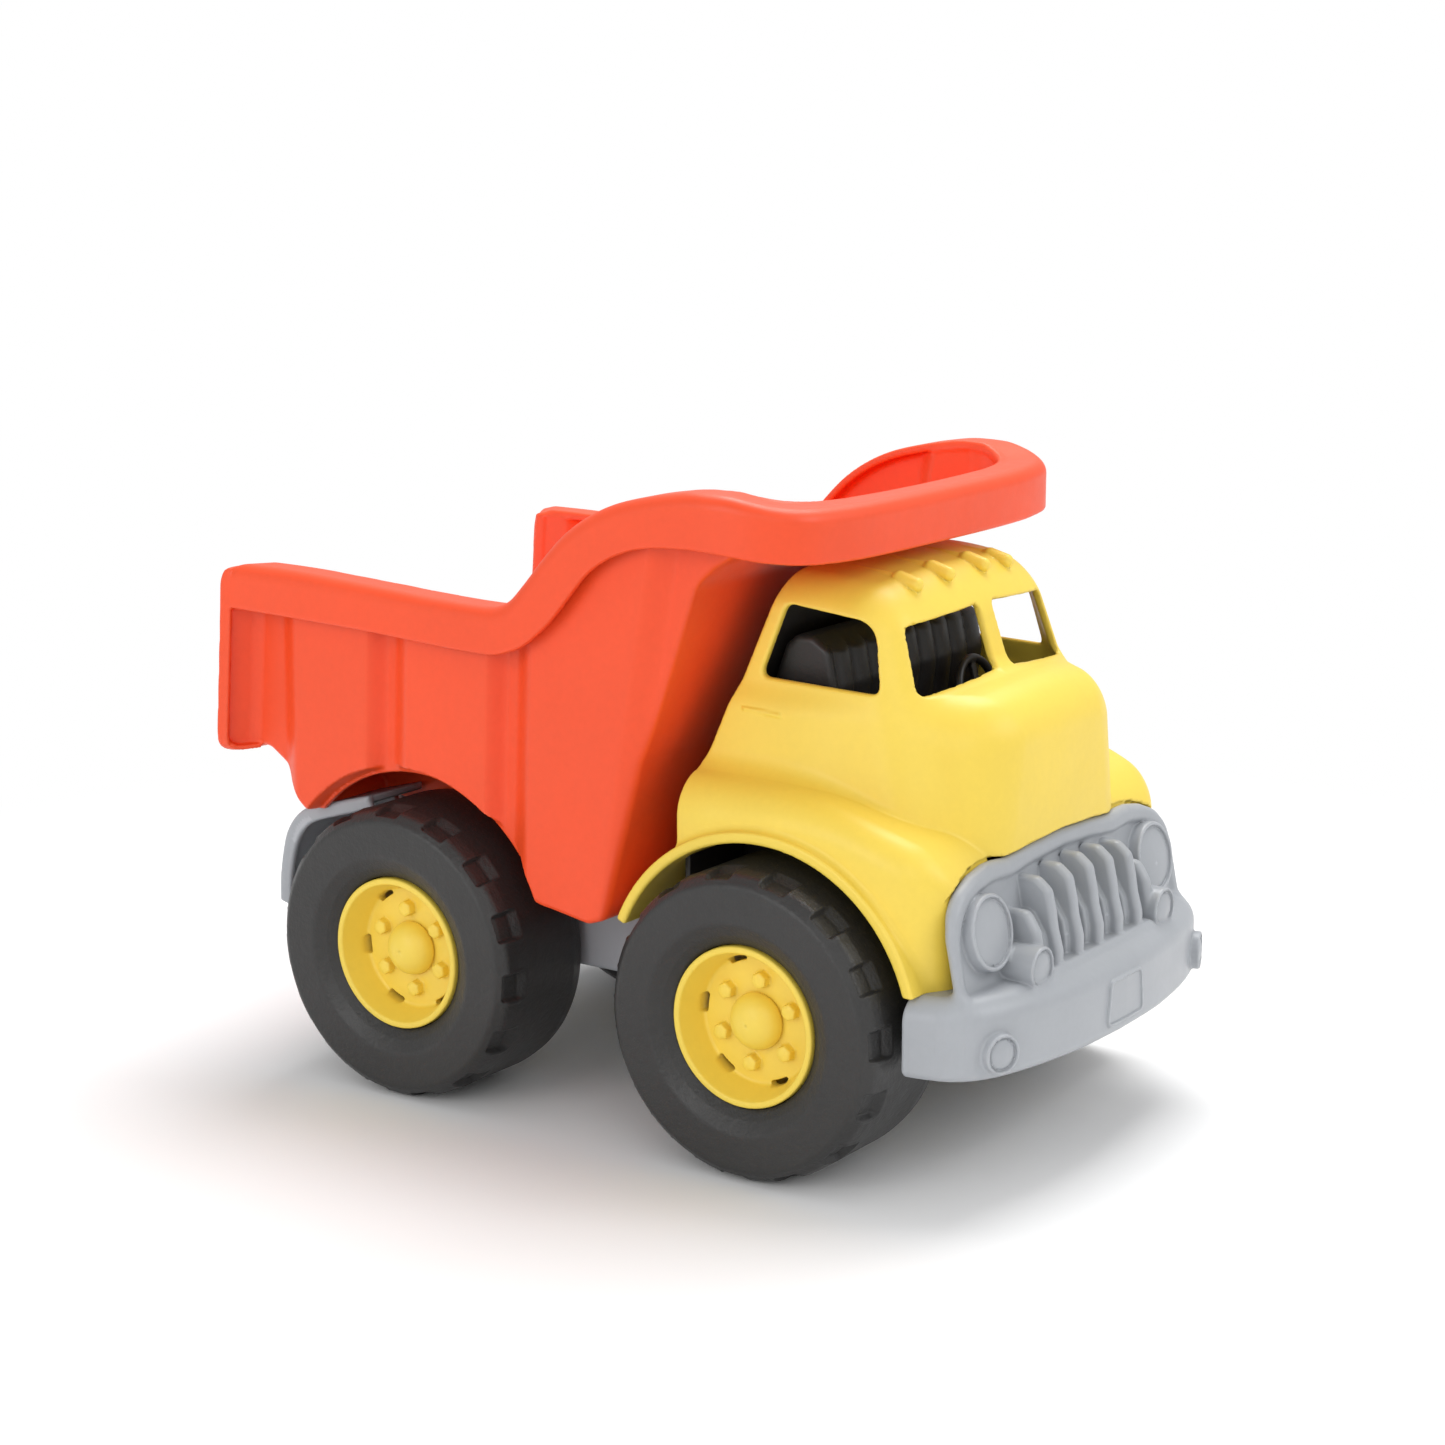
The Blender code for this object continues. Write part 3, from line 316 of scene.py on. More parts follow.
def add_object(name, data):
    ob = bpy.data.objects.new(name, data)
    bpy.context.scene.collection.objects.link(ob)
    return ob


def mesh_object(name, points, faces, normals, material):
    """Smooth mesh object from points in millimetres about its own origin."""
    me = bpy.data.meshes.new(name)
    me.vertices.add(len(points))
    me.vertices.foreach_set("co", (points * MM).ravel())
    corners = faces.shape[1]
    me.loops.add(faces.size)
    me.loops.foreach_set("vertex_index", faces.ravel().astype(np.int32))
    me.polygons.add(len(faces))
    me.polygons.foreach_set("loop_start", np.arange(0, faces.size, corners, dtype=np.int32))
    me.update(calc_edges=True)
    me.validate(clean_customdata=False)
    me.polygons.foreach_set("use_smooth", np.ones(len(me.polygons), bool))
    if normals is not None:
        me.normals_split_custom_set_from_vertices(normals.tolist())
    me.materials.append(material)
    return add_object(name, me)


def register(ob, body, node):
    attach(ob, body)
    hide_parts(node)


def moulding(name, field, low, high, cell, colour, body, node, mirror=True):
    p, quads, normals = surface(field, low, high, cell, mirror)
    ob = mesh_object(name, p + np.array([SHIFT_X, 0, 0]), quads, normals, SKINS[colour])
    register(ob, body, node)


# ------------------------------------------------------------------ materials
def add_node(tree, kind, inputs=None, **settings):
    """Adds a shader node; each input is a value or the output socket that feeds it."""
    node = tree.nodes.new(kind)
    for key, value in settings.items():
        setattr(node, key, value)
    for key, value in (inputs or {}).items():
        if isinstance(value, bpy.types.NodeSocket):
            tree.links.new(value, node.inputs[key])
        else:
            node.inputs[key].default_value = value
    return node


def map_range(tree, source, from_min=0, from_max=1, to_min=0, to_max=1, **settings):
    return add_node(tree, "ShaderNodeMapRange",
                    {"Value": source, "From Min": from_min, "From Max": from_max,
                     "To Min": to_min, "To Max": to_max}, **settings).outputs["Result"]


def plastic(name, colour, edge_highlight_colour, rough, grain, bump, mottle, edge,
            ripple=0.0, ripple_scale=60.0, metallic=0.0):
    """Moulded skin: mottled colour, a painted highlight on crisp edges, uneven gloss, fine
    grain and soft ripple.
    """
    material = bpy.data.materials.new(name)
    material.use_nodes = True
    tree = material.node_tree
    tree.nodes.clear()
    out = add_node(tree, "ShaderNodeOutputMaterial")
    bsdf = add_node(tree, "ShaderNodeBsdfPrincipled",
                    {"Roughness": rough, "Metallic": metallic})
    tree.links.new(bsdf.outputs["BSDF"], out.inputs["Surface"])
    place = add_node(tree, "ShaderNodeTexCoord").outputs["Object"]

    def noise(scale, detail, roughness):
        return add_node(tree, "ShaderNodeTexNoise",
                        {"Vector": place, "Scale": scale, "Detail": detail,
                         "Roughness": roughness}).outputs["Fac"]

    # colour: seven parts large soft mottling to three parts fine fleck
    large = noise(scale=22, detail=3, roughness=0.5)
    fine = noise(scale=420, detail=2, roughness=0.6)
    mix = add_node(tree, "ShaderNodeMath", {0: large, 1: 0.7}, operation="MULTIPLY_ADD")
    fleck = add_node(tree, "ShaderNodeMath", {0: fine, 1: 0.3}, operation="MULTIPLY")
    tree.links.new(fleck.outputs[0], mix.inputs[2])
    shade = map_range(tree, mix.outputs[0], from_min=0.35, from_max=0.65,
                      to_min=1 - mottle, to_max=1 + mottle)
    tint = add_node(tree, "ShaderNodeHueSaturation", {"Color": (*colour, 1), "Value": shade})
    # painted highlight on crisp edges, from the surface's own curvature
    geometry = add_node(tree, "ShaderNodeNewGeometry")
    edge_highlight_mask = map_range(tree, geometry.outputs["Pointiness"], from_min=0.53, from_max=0.62,
                     to_max=edge)
    edge_highlighted = add_node(tree, "ShaderNodeMix",
                    {"Factor": edge_highlight_mask, 6: tint.outputs["Color"], 7: (*edge_highlight_colour, 1)},
                    data_type="RGBA")
    tree.links.new(edge_highlighted.outputs[2], bsdf.inputs["Base Color"])
    # gloss that varies a little across the skin
    gloss = map_range(tree, noise(scale=75, detail=4, roughness=0.6), from_min=0.3,
                      from_max=0.7, to_min=rough - 0.05, to_max=rough + 0.06)
    tree.links.new(gloss, bsdf.inputs["Roughness"])
    # skin grain, then the coarser ripple over it
    relief = add_node(tree, "ShaderNodeBump",
                      {"Height": noise(scale=grain, detail=3, roughness=0.55),
                       "Strength": bump, "Distance": 0.0004})
    if ripple > 0:
        relief = add_node(tree, "ShaderNodeBump",
                          {"Height": noise(scale=ripple_scale, detail=5, roughness=0.62),
                           "Strength": ripple, "Distance": 0.001,
                           "Normal": relief.outputs["Normal"]})
    tree.links.new(relief.outputs["Normal"], bsdf.inputs["Normal"])
    return material


# each skin's edge colour and edge strength paint a highlight on its crisp edges
SKINS = {
    "yellow": plastic("yellow_skin", colour=(0.870, 0.640, 0.082), edge_highlight_colour=(0.98, 0.82, 0.35),
                      rough=0.42, grain=1400, bump=0.045, mottle=0.03, edge=0.10,
                      ripple=0.02, ripple_scale=55),
    "orange": plastic("orange_skin", colour=(0.870, 0.074, 0.013), edge_highlight_colour=(1.0, 0.36, 0.20),
                      rough=0.44, grain=1200, bump=0.06, mottle=0.04, edge=0.14,
                      ripple=0.03, ripple_scale=70),
    "grey": plastic("grey_skin", colour=(0.368, 0.386, 0.412), edge_highlight_colour=(0.72, 0.74, 0.78),
                    rough=0.38, grain=1100, bump=0.05, mottle=0.035, edge=0.22,
                    ripple=0.03, ripple_scale=60),
    "tyre": plastic("tyre_skin", colour=(0.024, 0.0235, 0.023), edge_highlight_colour=(0.12, 0.12, 0.12),
                    rough=0.43, grain=1000, bump=0.30, mottle=0.12, edge=0.10,
                    ripple=0.25, ripple_scale=420),
    "black": plastic("black_skin", colour=(0.016, 0.014, 0.013), edge_highlight_colour=(0.08, 0.07, 0.07),
                     rough=0.46, grain=900, bump=0.15, mottle=0.10, edge=0.10),
}
# the steel's edge colour and edge strength paint a highlight on its crisp edges
STEEL = plastic("screw_metal", colour=(0.52, 0.52, 0.53), edge_highlight_colour=(0.87, 0.87, 0.88),
                rough=0.32, grain=700, bump=0.10, mottle=0.06, edge=0.2, metallic=1.0)

# ------------------------------------------------------------------ cab
ARCH = (AXLE_X, 45.8)                    # centre of the front wheel opening, x and z
ARCH_R = 50
# (y, z, corner radius) up the left edge of the grille's plate; the right edge mirrors it
PLATE_HALF = [(65.6, 56, 1), (65.4, 75, 8), (63, 82, 10), (58, 86.8, 10), (50, 89.8, 12),
              (42, 91.2, 3), (37, 91.2, 1.2), (31, 90.6, 3), (18, 91.8, 30)]
plate_line = rounded(PLATE_HALF + [(0, 92.6, 60)]
                     + [(-y, z, r) for y, z, r in PLATE_HALF[::-1]], 8, 0.25)
# side window (x, z, corner radius) and half of the windscreen (y, z, corner radius)
side_window = rounded([(47.3, 136.7, 2.6), (86.4, 135.5, 2.2), (82.3, 155, 8),
                       (54.2, 157.8, 3.2)], 8, 0.25)
pane = rounded([(3.9, 137.4, 2.2), (40.4, 134.6, 2.2), (38, 153.4, 2.4),
                (3.5, 155.4, 2.2)], 8, 0.25)
# lamps on the roof: y, back end (x, z), front end (x, z)
ROOF_LAMPS = [(25.4, 63.6, 166.7, 84.6, 163.5), (9.9, 64.8, 167.9, 85.8, 164.6)]


def rear_x(z):
    """Back face of the cab."""
    return 33 + 0.36 * np.maximum(z - 112, 0)


def grille_x(z):
    """Front face of the leaning grille."""
    return 124.4 - 0.2 * (z - 63)


def cab_form(x, y, z):
    """Outer form of the cab: greenhouse, hood and the two front fenders."""
    y = np.abs(y)
    crown = (y / 40) ** 2
    side = (y - (48.4 - 0.15 * (z - 137))) * 0.989
    screen = (x - (98.4 - 0.34 * (z - 138) - 4.2 * crown)) * 0.947
    roof = z - (168.6 - 0.0052 * np.maximum(x - 57, 0) ** 2 - 3 * crown)
    greenhouse = meet(meet(side, screen, 11), roof, 9)
    half_width = 54.6 - 0.0052 * np.maximum(x - 58, 0) ** 2 - 0.16 * (z - 112)
    nose = x - (119.2 - 1.5 * crown)
    top = z - (137.6 - 0.16 * np.maximum(x - 95, 0) - 3.2 * crown)
    hood = meet(meet((y - half_width) * 0.96, nose, 11.5), top, 5 + 7.5 * ramp(x, 86, 108))
    body = union(greenhouse, hood, 4)
    side = (y - (70.6 - 0.0095 * np.maximum(x - 95, 0) ** 2
                 - 0.010 * np.maximum(45 - x, 0) ** 2))
    top = z - (110.2 - 0.0040 * np.maximum(x - 55, 0) ** 2
               + 0.30 * (1 - ramp(x, 45, 95)) * (60 - y))
    fender = meet(meet(side, top, 9), x - 118.4, 12)
    return union(body, fender, 4.5 - 3.5 * ramp(x, 60, 108))


def cab_openings(shell, x, y, z):
    """Cuts the wheel openings, windows and grille seat, and adds the arch lips."""
    rad = dist(x, z, ARCH)
    shell = carve(shell, meet(rad - ARCH_R, 38 - y, 0.5), 0.8)
    above = (x - ARCH[0]) * -0.391 + (z - ARCH[1]) * -0.921
    lip = meet(np.abs(rad - ARCH_R - 0.95) - 1.65, slab(y, 39, 73.4), 0.9)
    lip = meet(lip, meet(above, 59.6 - z, 0.6), 0.8)
    shell = union(shell, lip, 1.8)
    shell = carve(shell, meet(side_window(x, z), 30 - y, 0.5), 0.9)
    shell = carve(shell, meet(pane(y, z), 80 - x, 0.5), 0.9)
    seat = plate_line(y, np.maximum(z, 60)) - 0.45
    return carve(shell, meet(seat, -3.9 - (x - grille_x(z)), 0.3), 0.6)


def cab_field(x, y, z):
    y = np.abs(y)
    form = cab_form(x, y, z)
    shell = carve(form, form + CAB_WALL, 0.2)
    shell = meet(shell, (rear_x(z) - x) * 0.94, 0.8)
    shell = meet(shell, 58.5 - z, 0.8)
    shell = cab_openings(shell, x, y, z)
    for at, x0, z0, x1, z1 in ROOF_LAMPS:
        stalk = taper(x, y, z, (x0, at, z0), (x1 - 2.6, at, z1 + 0.6), 0.5, 1.7)
        nose = taper(x, y, z, (x1 - 5.6, at, z1 + 1), (x1, at, z1 - 0.2), 2.35, 2.1)
        shell = union(shell, union(stalk, nose, 0.25), 0.35)
    # a short bead on each side, below the window
    bead = taper(x, y, z, (44.6, 52.1, 127.9), (56.4, 52.2, 127.2), 0.6, 0.75)
    shell = union(shell, bead, 0.3)
    # screw bosses on their ledges
    ledges = np.minimum(block(x, y, z, (33.9, 47), (-1, 28), (62, 65), 0.8),
                        block(x, y, z, (96, 105), (-1, 80), (90, 92.6), 0.8))
    shell = union(shell, meet(ledges, form + 1.2, 0.3), 1)
    for screw_x, screw_y, top in CAB_SCREWS:
        rad = dist(x, y, (screw_x, screw_y))
        shell = union(shell, meet(rad - 4, slab(z, 58.4, top), 0.6), 0.8)
        shell = carve(shell, np.maximum(rad - SCREW_HOLE, z - 66), 0.2)
    return shell


# ------------------------------------------------------------------ grille and bumper
BUMPER_Y = 74.4                          # half width of the bumper's curve
# (place along the curve, x, y) from the middle to the left end
BUMPER = [(0, 140, 0), (0.25, 139.4, 19), (0.5, 137.2, 38), (0.68, 134, 53.5),
          (0.80, 130, 64), (0.90, 123, 71), (1, 110.5, BUMPER_Y)]
BUMPER_WALL = 2.6


def bumper_plan():
    place, xs, ys = zip(*BUMPER)
    x_at, y_at = smooth_curve(place, xs), smooth_curve(place, ys)
    half = [(140.0, 0.0)]
    half += [(float(x_at(t)), float(y_at(t))) for t in np.linspace(0, 1, 41)[2:]]
    half += [(60.0, 74.6)]
    return [(a, -b) for a, b in half[::-1]] + half[1:]


bumper_line = Outline(bumper_plan())
# (y, z, corner radius)
tablet_line = rounded([(-11.2, 39.9, 2.6), (11.2, 39.9, 2.6), (9.4, 53.6, 2.8),
                       (-9.4, 53.6, 2.8)], 6, 0.2)
# fin profiles (x, z, corner radius): tall blade, its wider lower step, short outer blade
fin_line = rounded([(116, 57, 0), (132.4, 57, 1), (132.3, 66.5, 8), (130.6, 72.5, 8),
                    (129.8, 77.5, 8), (128.4, 83.4, 3.5), (124.4, 86.6, 3.5),
                    (116, 86.6, 0)], 6, 0.25)
step_line = rounded([(116, 57, 0), (129.4, 57, 1), (129.2, 66, 6), (128.2, 71, 5),
                     (124, 77.5, 3), (116, 77.5, 0)], 6, 0.25)
short_line = rounded([(116, 57, 0), (131.6, 57, 1), (131.4, 65, 6), (130, 72, 6),
                      (126.6, 77.4, 3.5), (116, 77.4, 0)], 6, 0.25)
FIN_Y = (0, 12, 24)
# blend radius, then centre, facing, rim radius, lens radius, depth, rim height, dome
LAMPS = [
    (0.5, (grille_x(74.6) + 0.2, 48.7, 74.2), (0.981, 0, 0.196), 10.7, 9.5, 3.4, 2.3, 0.9),
    (0.9, (131.9, 37, 62.9), (1, 0, 0), 6.2, 5.2, 12, 1.9, 0.9),
    (0.7, (133.1, 59.4, 44.7), (0.934, 0.356, 0), 5.7, 4.7, 2.5, 1.7, 1.1),
]


def lamp(x, y, z, centre, facing, r_rim, r_lens, depth, rim, dome):
    """A rimmed disc with a slightly domed lens sunk inside the rim."""
    dx, dy, dz = x - centre[0], y - centre[1], z - centre[2]
    height = dx * facing[0] + dy * facing[1] + dz * facing[2]
    rad = np.sqrt(np.maximum(dx * dx + dy * dy + dz * dz - height * height, 0))
    body = meet(rad - r_rim, slab(height, -depth, rim), 0.7)
    body = carve(body, meet(rad - r_lens, rim - 1.1 - height, 0.3), 0.35)
    lens = height - (rim - 0.9 + dome * (1 - (rad / r_lens) ** 2))
    lens = meet(rad - (r_lens - 0.45), lens, 0.5)
    return union(body, meet(lens, -depth - height, 0.3), 0.25)


def grille_panel(x, y, z):
    """Leaning plate with a bead round its edge."""
    lean = (x - grille_x(z)) * 0.981
    edge = plate_line(y, z)
    panel = meet(meet(slab(lean, -3.4, -1.5), edge + 1, 0.8), 55.5 - z, 0.8)
    bead_r = 1.25 + 0.85 * ramp(z, 68, 86)
    bead = np.maximum(np.abs(edge + 0.6 + bead_r) - 0.6, 0)
    bead = meet(np.hypot(bead, lean + 1.9) - bead_r, 56 - z, 0.5)
    return union(panel, bead, 1)


def bumper(x, y, z, plan):
    """Hollow bar with a top shelf and solid ends at the back."""
    outward = np.clip(y / BUMPER_Y, 0, 1) ** 3
    bottom, top = 36.6 + 0.9 * outward, 59.6 + 0.4 * outward
    bar = meet(meet(plan, z - top, 7), bottom - z, 2.6)
    skin = carve(bar, bar + BUMPER_WALL, 0.3)
    shelf = meet(meet(bar, (top - 2.7) - z, 0.4), 118.8 - x, 0.5)
    band = meet(skin, -(8.5 - 3 * outward) - plan, 0.7)
    hollow = meet(np.minimum(band, shelf), 110.8 - x, 0.9)
    solid = meet(meet(bar, 112.8 - x, 0.5), 110.8 - x, 0.5)
    return union(hollow, solid, 0.3)


def tall_fin(x, y, z, at):
    drop = 0.003 * at * at
    blade = meet(fin_line(x, z + drop), np.abs(y - at) - 2.05, 1.5)
    step = meet(step_line(x, z + drop), np.abs(y - at) - 3.9, 0.9)
    return union(blade, step, 0.5)


def grille_field(x, y, z):
    y = np.abs(y)
    plan = bumper_line(x, y)
    out = union(grille_panel(x, y, z), bumper(x, y, z, plan), 2.4)
    # shelf under the fins
    out = union(out, block(x, y, z, (118.8, 133.6), (-40, 30.5), (56, 61.2), 1.4), 2)
    for blend, *spec in LAMPS:
        out = union(out, lamp(x, y, z, *spec), blend)
    fins = np.minimum.reduce([tall_fin(x, y, z, at) for at in FIN_Y])
    short = meet(short_line(x, z), np.abs(y - 33) - 2.1, 1.6)
    fins = meet(union(fins, short, 0.5), 118.9 - x, 0.3)
    out = union(out, fins, 0.7)
    # blank tablet with a raised rim in the middle of the bumper
    line = tablet_line(y, z)
    tablet = meet(meet(line, plan - 0.95, 0.45), -2.5 - plan, 0.2)
    tablet = carve(tablet, meet(line + 1, 0.35 - plan, 0.2), 0.25)
    out = union(out, tablet, 0.5)
    # screw lugs behind
    out = union(out, block(x, y, z, (105.6, 122), (13, 23), (58.3, 61.3), 0.7), 0.8)
    hole = dist(x, y, GRILLE_SCREW) - SCREW_HOLE
    return carve(out, np.maximum(hole, np.abs(z - 60) - 4), 0.2)


# ------------------------------------------------------------------ dump bed
# (x, z) of the top and the bottom of the rim's hanging band
RIM_TOP = [(-132, 157.2), (-110, 157.1), (-72, 155.4), (-45, 153.9), (-27, 153.4),
           (-21, 155), (-14, 161.5), (-9, 167.2), (-4, 172.6), (1, 177.2), (7, 181.4),
           (14, 185), (20, 187.2), (27, 189), (35, 190.6), (46, 191.9), (56, 191.7),
           (64, 190.4), (72, 188.6), (80, 187.6)]
RIM_LOW = [(-132, 143.6), (-120, 143.3), (-74, 141.9), (-26, 139.7), (-16, 142.2),
           (-5.5, 149.6), (-1, 154.2), (5, 161.2), (10, 166.6), (16, 170.7), (21, 173),
           (27, 174.9), (34, 175.9), (45, 176.3), (56, 175.6), (66, 174.2), (80, 172.3)]
rim_top_curve = smooth_curve(*zip(*RIM_TOP))


def height_above(curve):
    """Distance above a curve z(x), from a lightly softened table of it."""
    xs = np.arange(-140, 90.5, 0.5)
    level = curve(xs)
    for _ in range(10):
        level[1:-1] = 0.25 * level[:-2] + 0.5 * level[1:-1] + 0.25 * level[2:]
    slope = np.gradient(level, xs)
    return lambda x, z: ((z - np.interp(x, xs, level))
                         * (1 / np.hypot(1, np.interp(x, xs, slope))))


above_rim_top = height_above(rim_top_curve)
above_rim_low = height_above(smooth_curve(*zip(*RIM_LOW)))


def bed_back(z):
    return -131.5 - 0.08 * (142 - z)


# side profiles (x, z, corner radius), from the back along the floor and up the front
OUTER_SIDE = [(bed_back(101), 101, 0), (-121.4, 98.7, 4), (-114.4, 94.1, 4),
              (-111.5, 89, 3), (-104, 82.3, 2), (5, 63.2, 4), (10.8, 65.2, 3),
              (22, 112, 60), (40.3, 164.6, 10), (47, 170.6, 12), (57, 176.4, 20),
              (69.6, 184.4, 0)]
INNER_SIDE = [(-145, 108.4, 0), (-120.7, 101.4, 3), (-112.4, 95.7, 3), (-109.4, 90.6, 3),
              (-103.3, 85, 2), (3.4, 66.2, 5), (19.6, 112.7, 60), (38.2, 166.2, 10),
              (45.6, 172.8, 12), (56, 178.7, 20), (80, 193.8, 0), (80, 210, 0),
              (-145, 210, 0)]
UNDER_RIM = [(float(x), float(rim_top_curve(x)) - 1.8)
             for x in np.linspace(69.6, bed_back(155.2), 90)]
outer_side = Outline(fillet(OUTER_SIDE, 6, closed=False) + UNDER_RIM, 0.35, 20)
inner_side = rounded(INNER_SIDE, 6, 0.35, 20)
# plan of the rim's outer and inner edges (x, y), round the front left corner
RIM_OUT = [(45, 80), (50, 79.95), (56, 79.3), (62, 77.8), (67, 75.4), (71, 72.1),
           (74.2, 67.8), (76.4, 62.6), (77.8, 56), (79, 48), (79.7, 40), (80.2, 28),
           (80.45, 14), (80.5, 0)]
RIM_IN = [(40, 67.8), (46, 67.5), (52, 66.2), (57, 63.9), (60.6, 60.8), (63.4, 57),
          (65.4, 52.8), (66.8, 48), (67.9, 42), (68.6, 35), (69, 28), (69.35, 14),
          (69.5, 0)]


def rim_plan(pts):
    half = spline(pts, 4)
    y0 = pts[0][1]
    mirrored = [(a, -b) for a, b in half[::-1][1:]]
    return Outline([(-170, y0)] + half + mirrored + [(-170, -y0)], 0.35, 8)


rim_out = rim_plan(RIM_OUT)
rim_in = rim_plan(RIM_IN)

# rear wheel wells: skin outlines (x, z), an arc over the wheel between measured points
WELL = (-AXLE_X, 48)
WELL_R = 50.2
WELL_ANGLES = [math.radians(90 - k * 8.4) for k in range(1, 9)]
well_out_line = Outline(
    [(-116.2, 97.2), (-100, 98), (-86, 101), (-63, 102)]
    + arc((WELL[0], 48.4), 53.6, WELL_ANGLES)
    + [(-10, 66.4), (-60, 76), (-104, 84.5), (-112, 92)], 0.35)
well_in_line = Outline(
    [(-110.8, 93.6), (-100, 95.3), (-86, 98.3), (-63, 99.2)]
    + arc((WELL[0], 48.2), 51.0, WELL_ANGLES)
    + [(-14.8, 60), (-99, 60), (-101.4, 84.9), (-108.8, 91.2)], 0.35)
# rear flange (y, z, corner radius)
flange_line = rounded([(60, 98.9, 0), (66, 98.4, 2), (79.95, 97.4, 8.5),
                       (79.95, 156, 1), (60, 156, 0)], 10, 0.3)
bed_lug = Outline([(-118, 97.6)]
                  + arc(HINGE, 5.6, [math.pi + math.pi * i / 8 for i in range(9)])
                  + [(-106.4, 86.2), (-112, 92.4)])
# raised side panels: rear and front edge at z = 110, how far each leans forward per
# millimetre of height, and how wide each edge's slope is
PANELS = [(-114.8, -72.6, 0.02, 0.045, 9.6, 5.6), (-70.6, -26.6, 0.045, 0.045, 9.2, 5.6),
          (-24, 24.4, 0.045, 0.17, 9.2, 8.6)]
PANEL_RISE = 4.55


def well_gap(x, z):
    return dist(x, z, WELL) - WELL_R


def bulge(x, z, inset=0.0):
    """0 on the wall's base plane, 1 on top of a raised panel."""
    out = 0.0
    for x0, x1, lean0, lean1, wide0, wide1 in PANELS:
        a = x - (x0 + lean0 * (z - 110)) - inset
        b = (x1 + lean1 * (z - 110)) - x - inset
        out = out + ramp(a, 0, wide0) * ramp(b, 0, wide1)
    return out * ramp(well_gap(x, z), 0.9 + inset, 2.6 + inset)


def bed_tub(x, y, z, side, plan):
    room = 9 * (1 - ramp(x, 36, 50))
    outside = meet(outer_side(x, z), y - side, 1.8)
    outside = meet(outside, plan - 2.3 - room, 2)
    inside = meet(inner_side(x, z), y - 67.5 - PANEL_RISE * bulge(x, z, 2.0), 3)
    inside = meet(inside, plan - 0.2 - room, 1.5)
    return carve(outside, inside, 0.9)


def bed_rim(x, y, z, plan, rear):
    """A ledge with a hanging band, hollow underneath; also returns its top and end."""
    outer = rim_out(x, y)
    across = np.clip(-plan / np.minimum(outer - plan, -1.0), 0, 1)
    along = x + (1 - across) * 11 * ramp(x, 44, 67)
    up = above_rim_top(along, z)
    end = meet(up, rear, 7)
    rim = meet(meet(outer, end, 4.2), -above_rim_low(along, z), 1)
    rim = carve(rim, plan, 1.2)
    void = meet(meet(outer + 2.5, up + 2.6, 2.2), rear + 2.4, 1.2)
    return carve(rim, void, 0.7), end


def bed_field(x, y, z):
    y = np.abs(y)
    side = 70 + PANEL_RISE * bulge(x, z)
    plan = rim_in(x, y)
    tub = bed_tub(x, y, z, side, plan)
    # rear end: the walls flare out to the flange
    back = (bed_back(z) - x) * 0.9968
    slant = (-(x + 125 + 0.08 * (142 - z)) - 0.68 * (y - 67.5)) * 0.824
    rear = meet(back, slant, 3)
    tub = meet(tub, np.minimum(slant, y - 67.2), 0.7)
    rim, end = bed_rim(x, y, z, plan, rear)
    out = union(tub, rim, 1.3)
    # rear flange and its hem
    line = flange_line(y, z)
    flange = meet(meet(slab(rear, -2.5, 0), line, 0.9), end, 1.2)
    hem = meet(meet(slab(rear, -4.4, 0), meet(line, -line - 1.7, 0.6), 0.8), end, 1)
    out = union(out, meet(flange, 67.6 - y, 0.4), 2.2)
    out = union(out, meet(hem, 69.5 - y, 0.8), 0.9)
    # wheel wells
    hood = meet(meet(well_out_line(x, z), 36.4 - y, 1), y - side + 0.8, 0.4)
    out = union(out, hood, 1)
    out = carve(out, meet(well_in_line(x, z), slab(y, 39, 67.4), 1.2), 0.8)
    out = carve(out, np.maximum(well_gap(x, z), 65 - y), 0.7)
    out = union(out, block(x, y, z, (-113.6, -102), (36.4, 39), (79.8, 91), 0.8), 0.8)
    # hinge lugs
    out = union(out, meet(bed_lug(x, z), slab(y, 13, 19), 0.8), 0.8)
    return carve(out, np.maximum(dist(x, z, HINGE) - 2.75, y - 30), 0.3)


# ------------------------------------------------------------------ chassis
# rear guard (x, z): outer face downwards, inner face upwards
GUARD_OUT = [(-84.5, 87.4), (-98, 83.8), (-108, 81), (-113.2, 78), (-117, 73.6),
             (-119.4, 68), (-121.4, 58), (-121.9, 49)]
GUARD_IN = [(-119.2, 49), (-118.8, 58), (-116.9, 67), (-114.6, 72.2), (-111.4, 76),
            (-107, 78.4), (-97.4, 81.4), (-84.5, 85)]
GUARD_RIM = [(x + 1.6, z - 1.5) for x, z in GUARD_IN]
guard_line = Outline(spline(GUARD_OUT, 5) + spline(GUARD_IN, 5), 0.25)
guard_rim = Outline(spline(GUARD_OUT, 5) + spline(GUARD_RIM, 5), 0.25)
# web inside the guard and ear round the hinge pin (x, z)
web_line = Outline([(-121, 50), (-120.6, 58), (-118.4, 67), (-115.8, 73), (-112.2, 77),
                    (-107, 79.6), (-103, 79.4), (-94, 56), (-94, 50)])
ear_line = Outline([(-121, 55), (-117.4, 80)]
                   + arc(HINGE, 5.4, [math.pi - math.pi * i / 10 for i in range(11)])
                   + [(-106, 74), (-99, 55)])
# hollows under the frame: rear x, front x, (half width, top z)
NARROW, WIDE = (31.4, 54.4), (39.8, 57.9)
BAYS = [(-118.9, -88, NARROW), (-85.4, -72, NARROW), (-54, -32, NARROW),
        (-26.4, -9.2, WIDE), (-6.6, 10.4, WIDE), (15.6, 53, NARROW),
        (73, 92, NARROW), (94.6, 113.4, NARROW)]


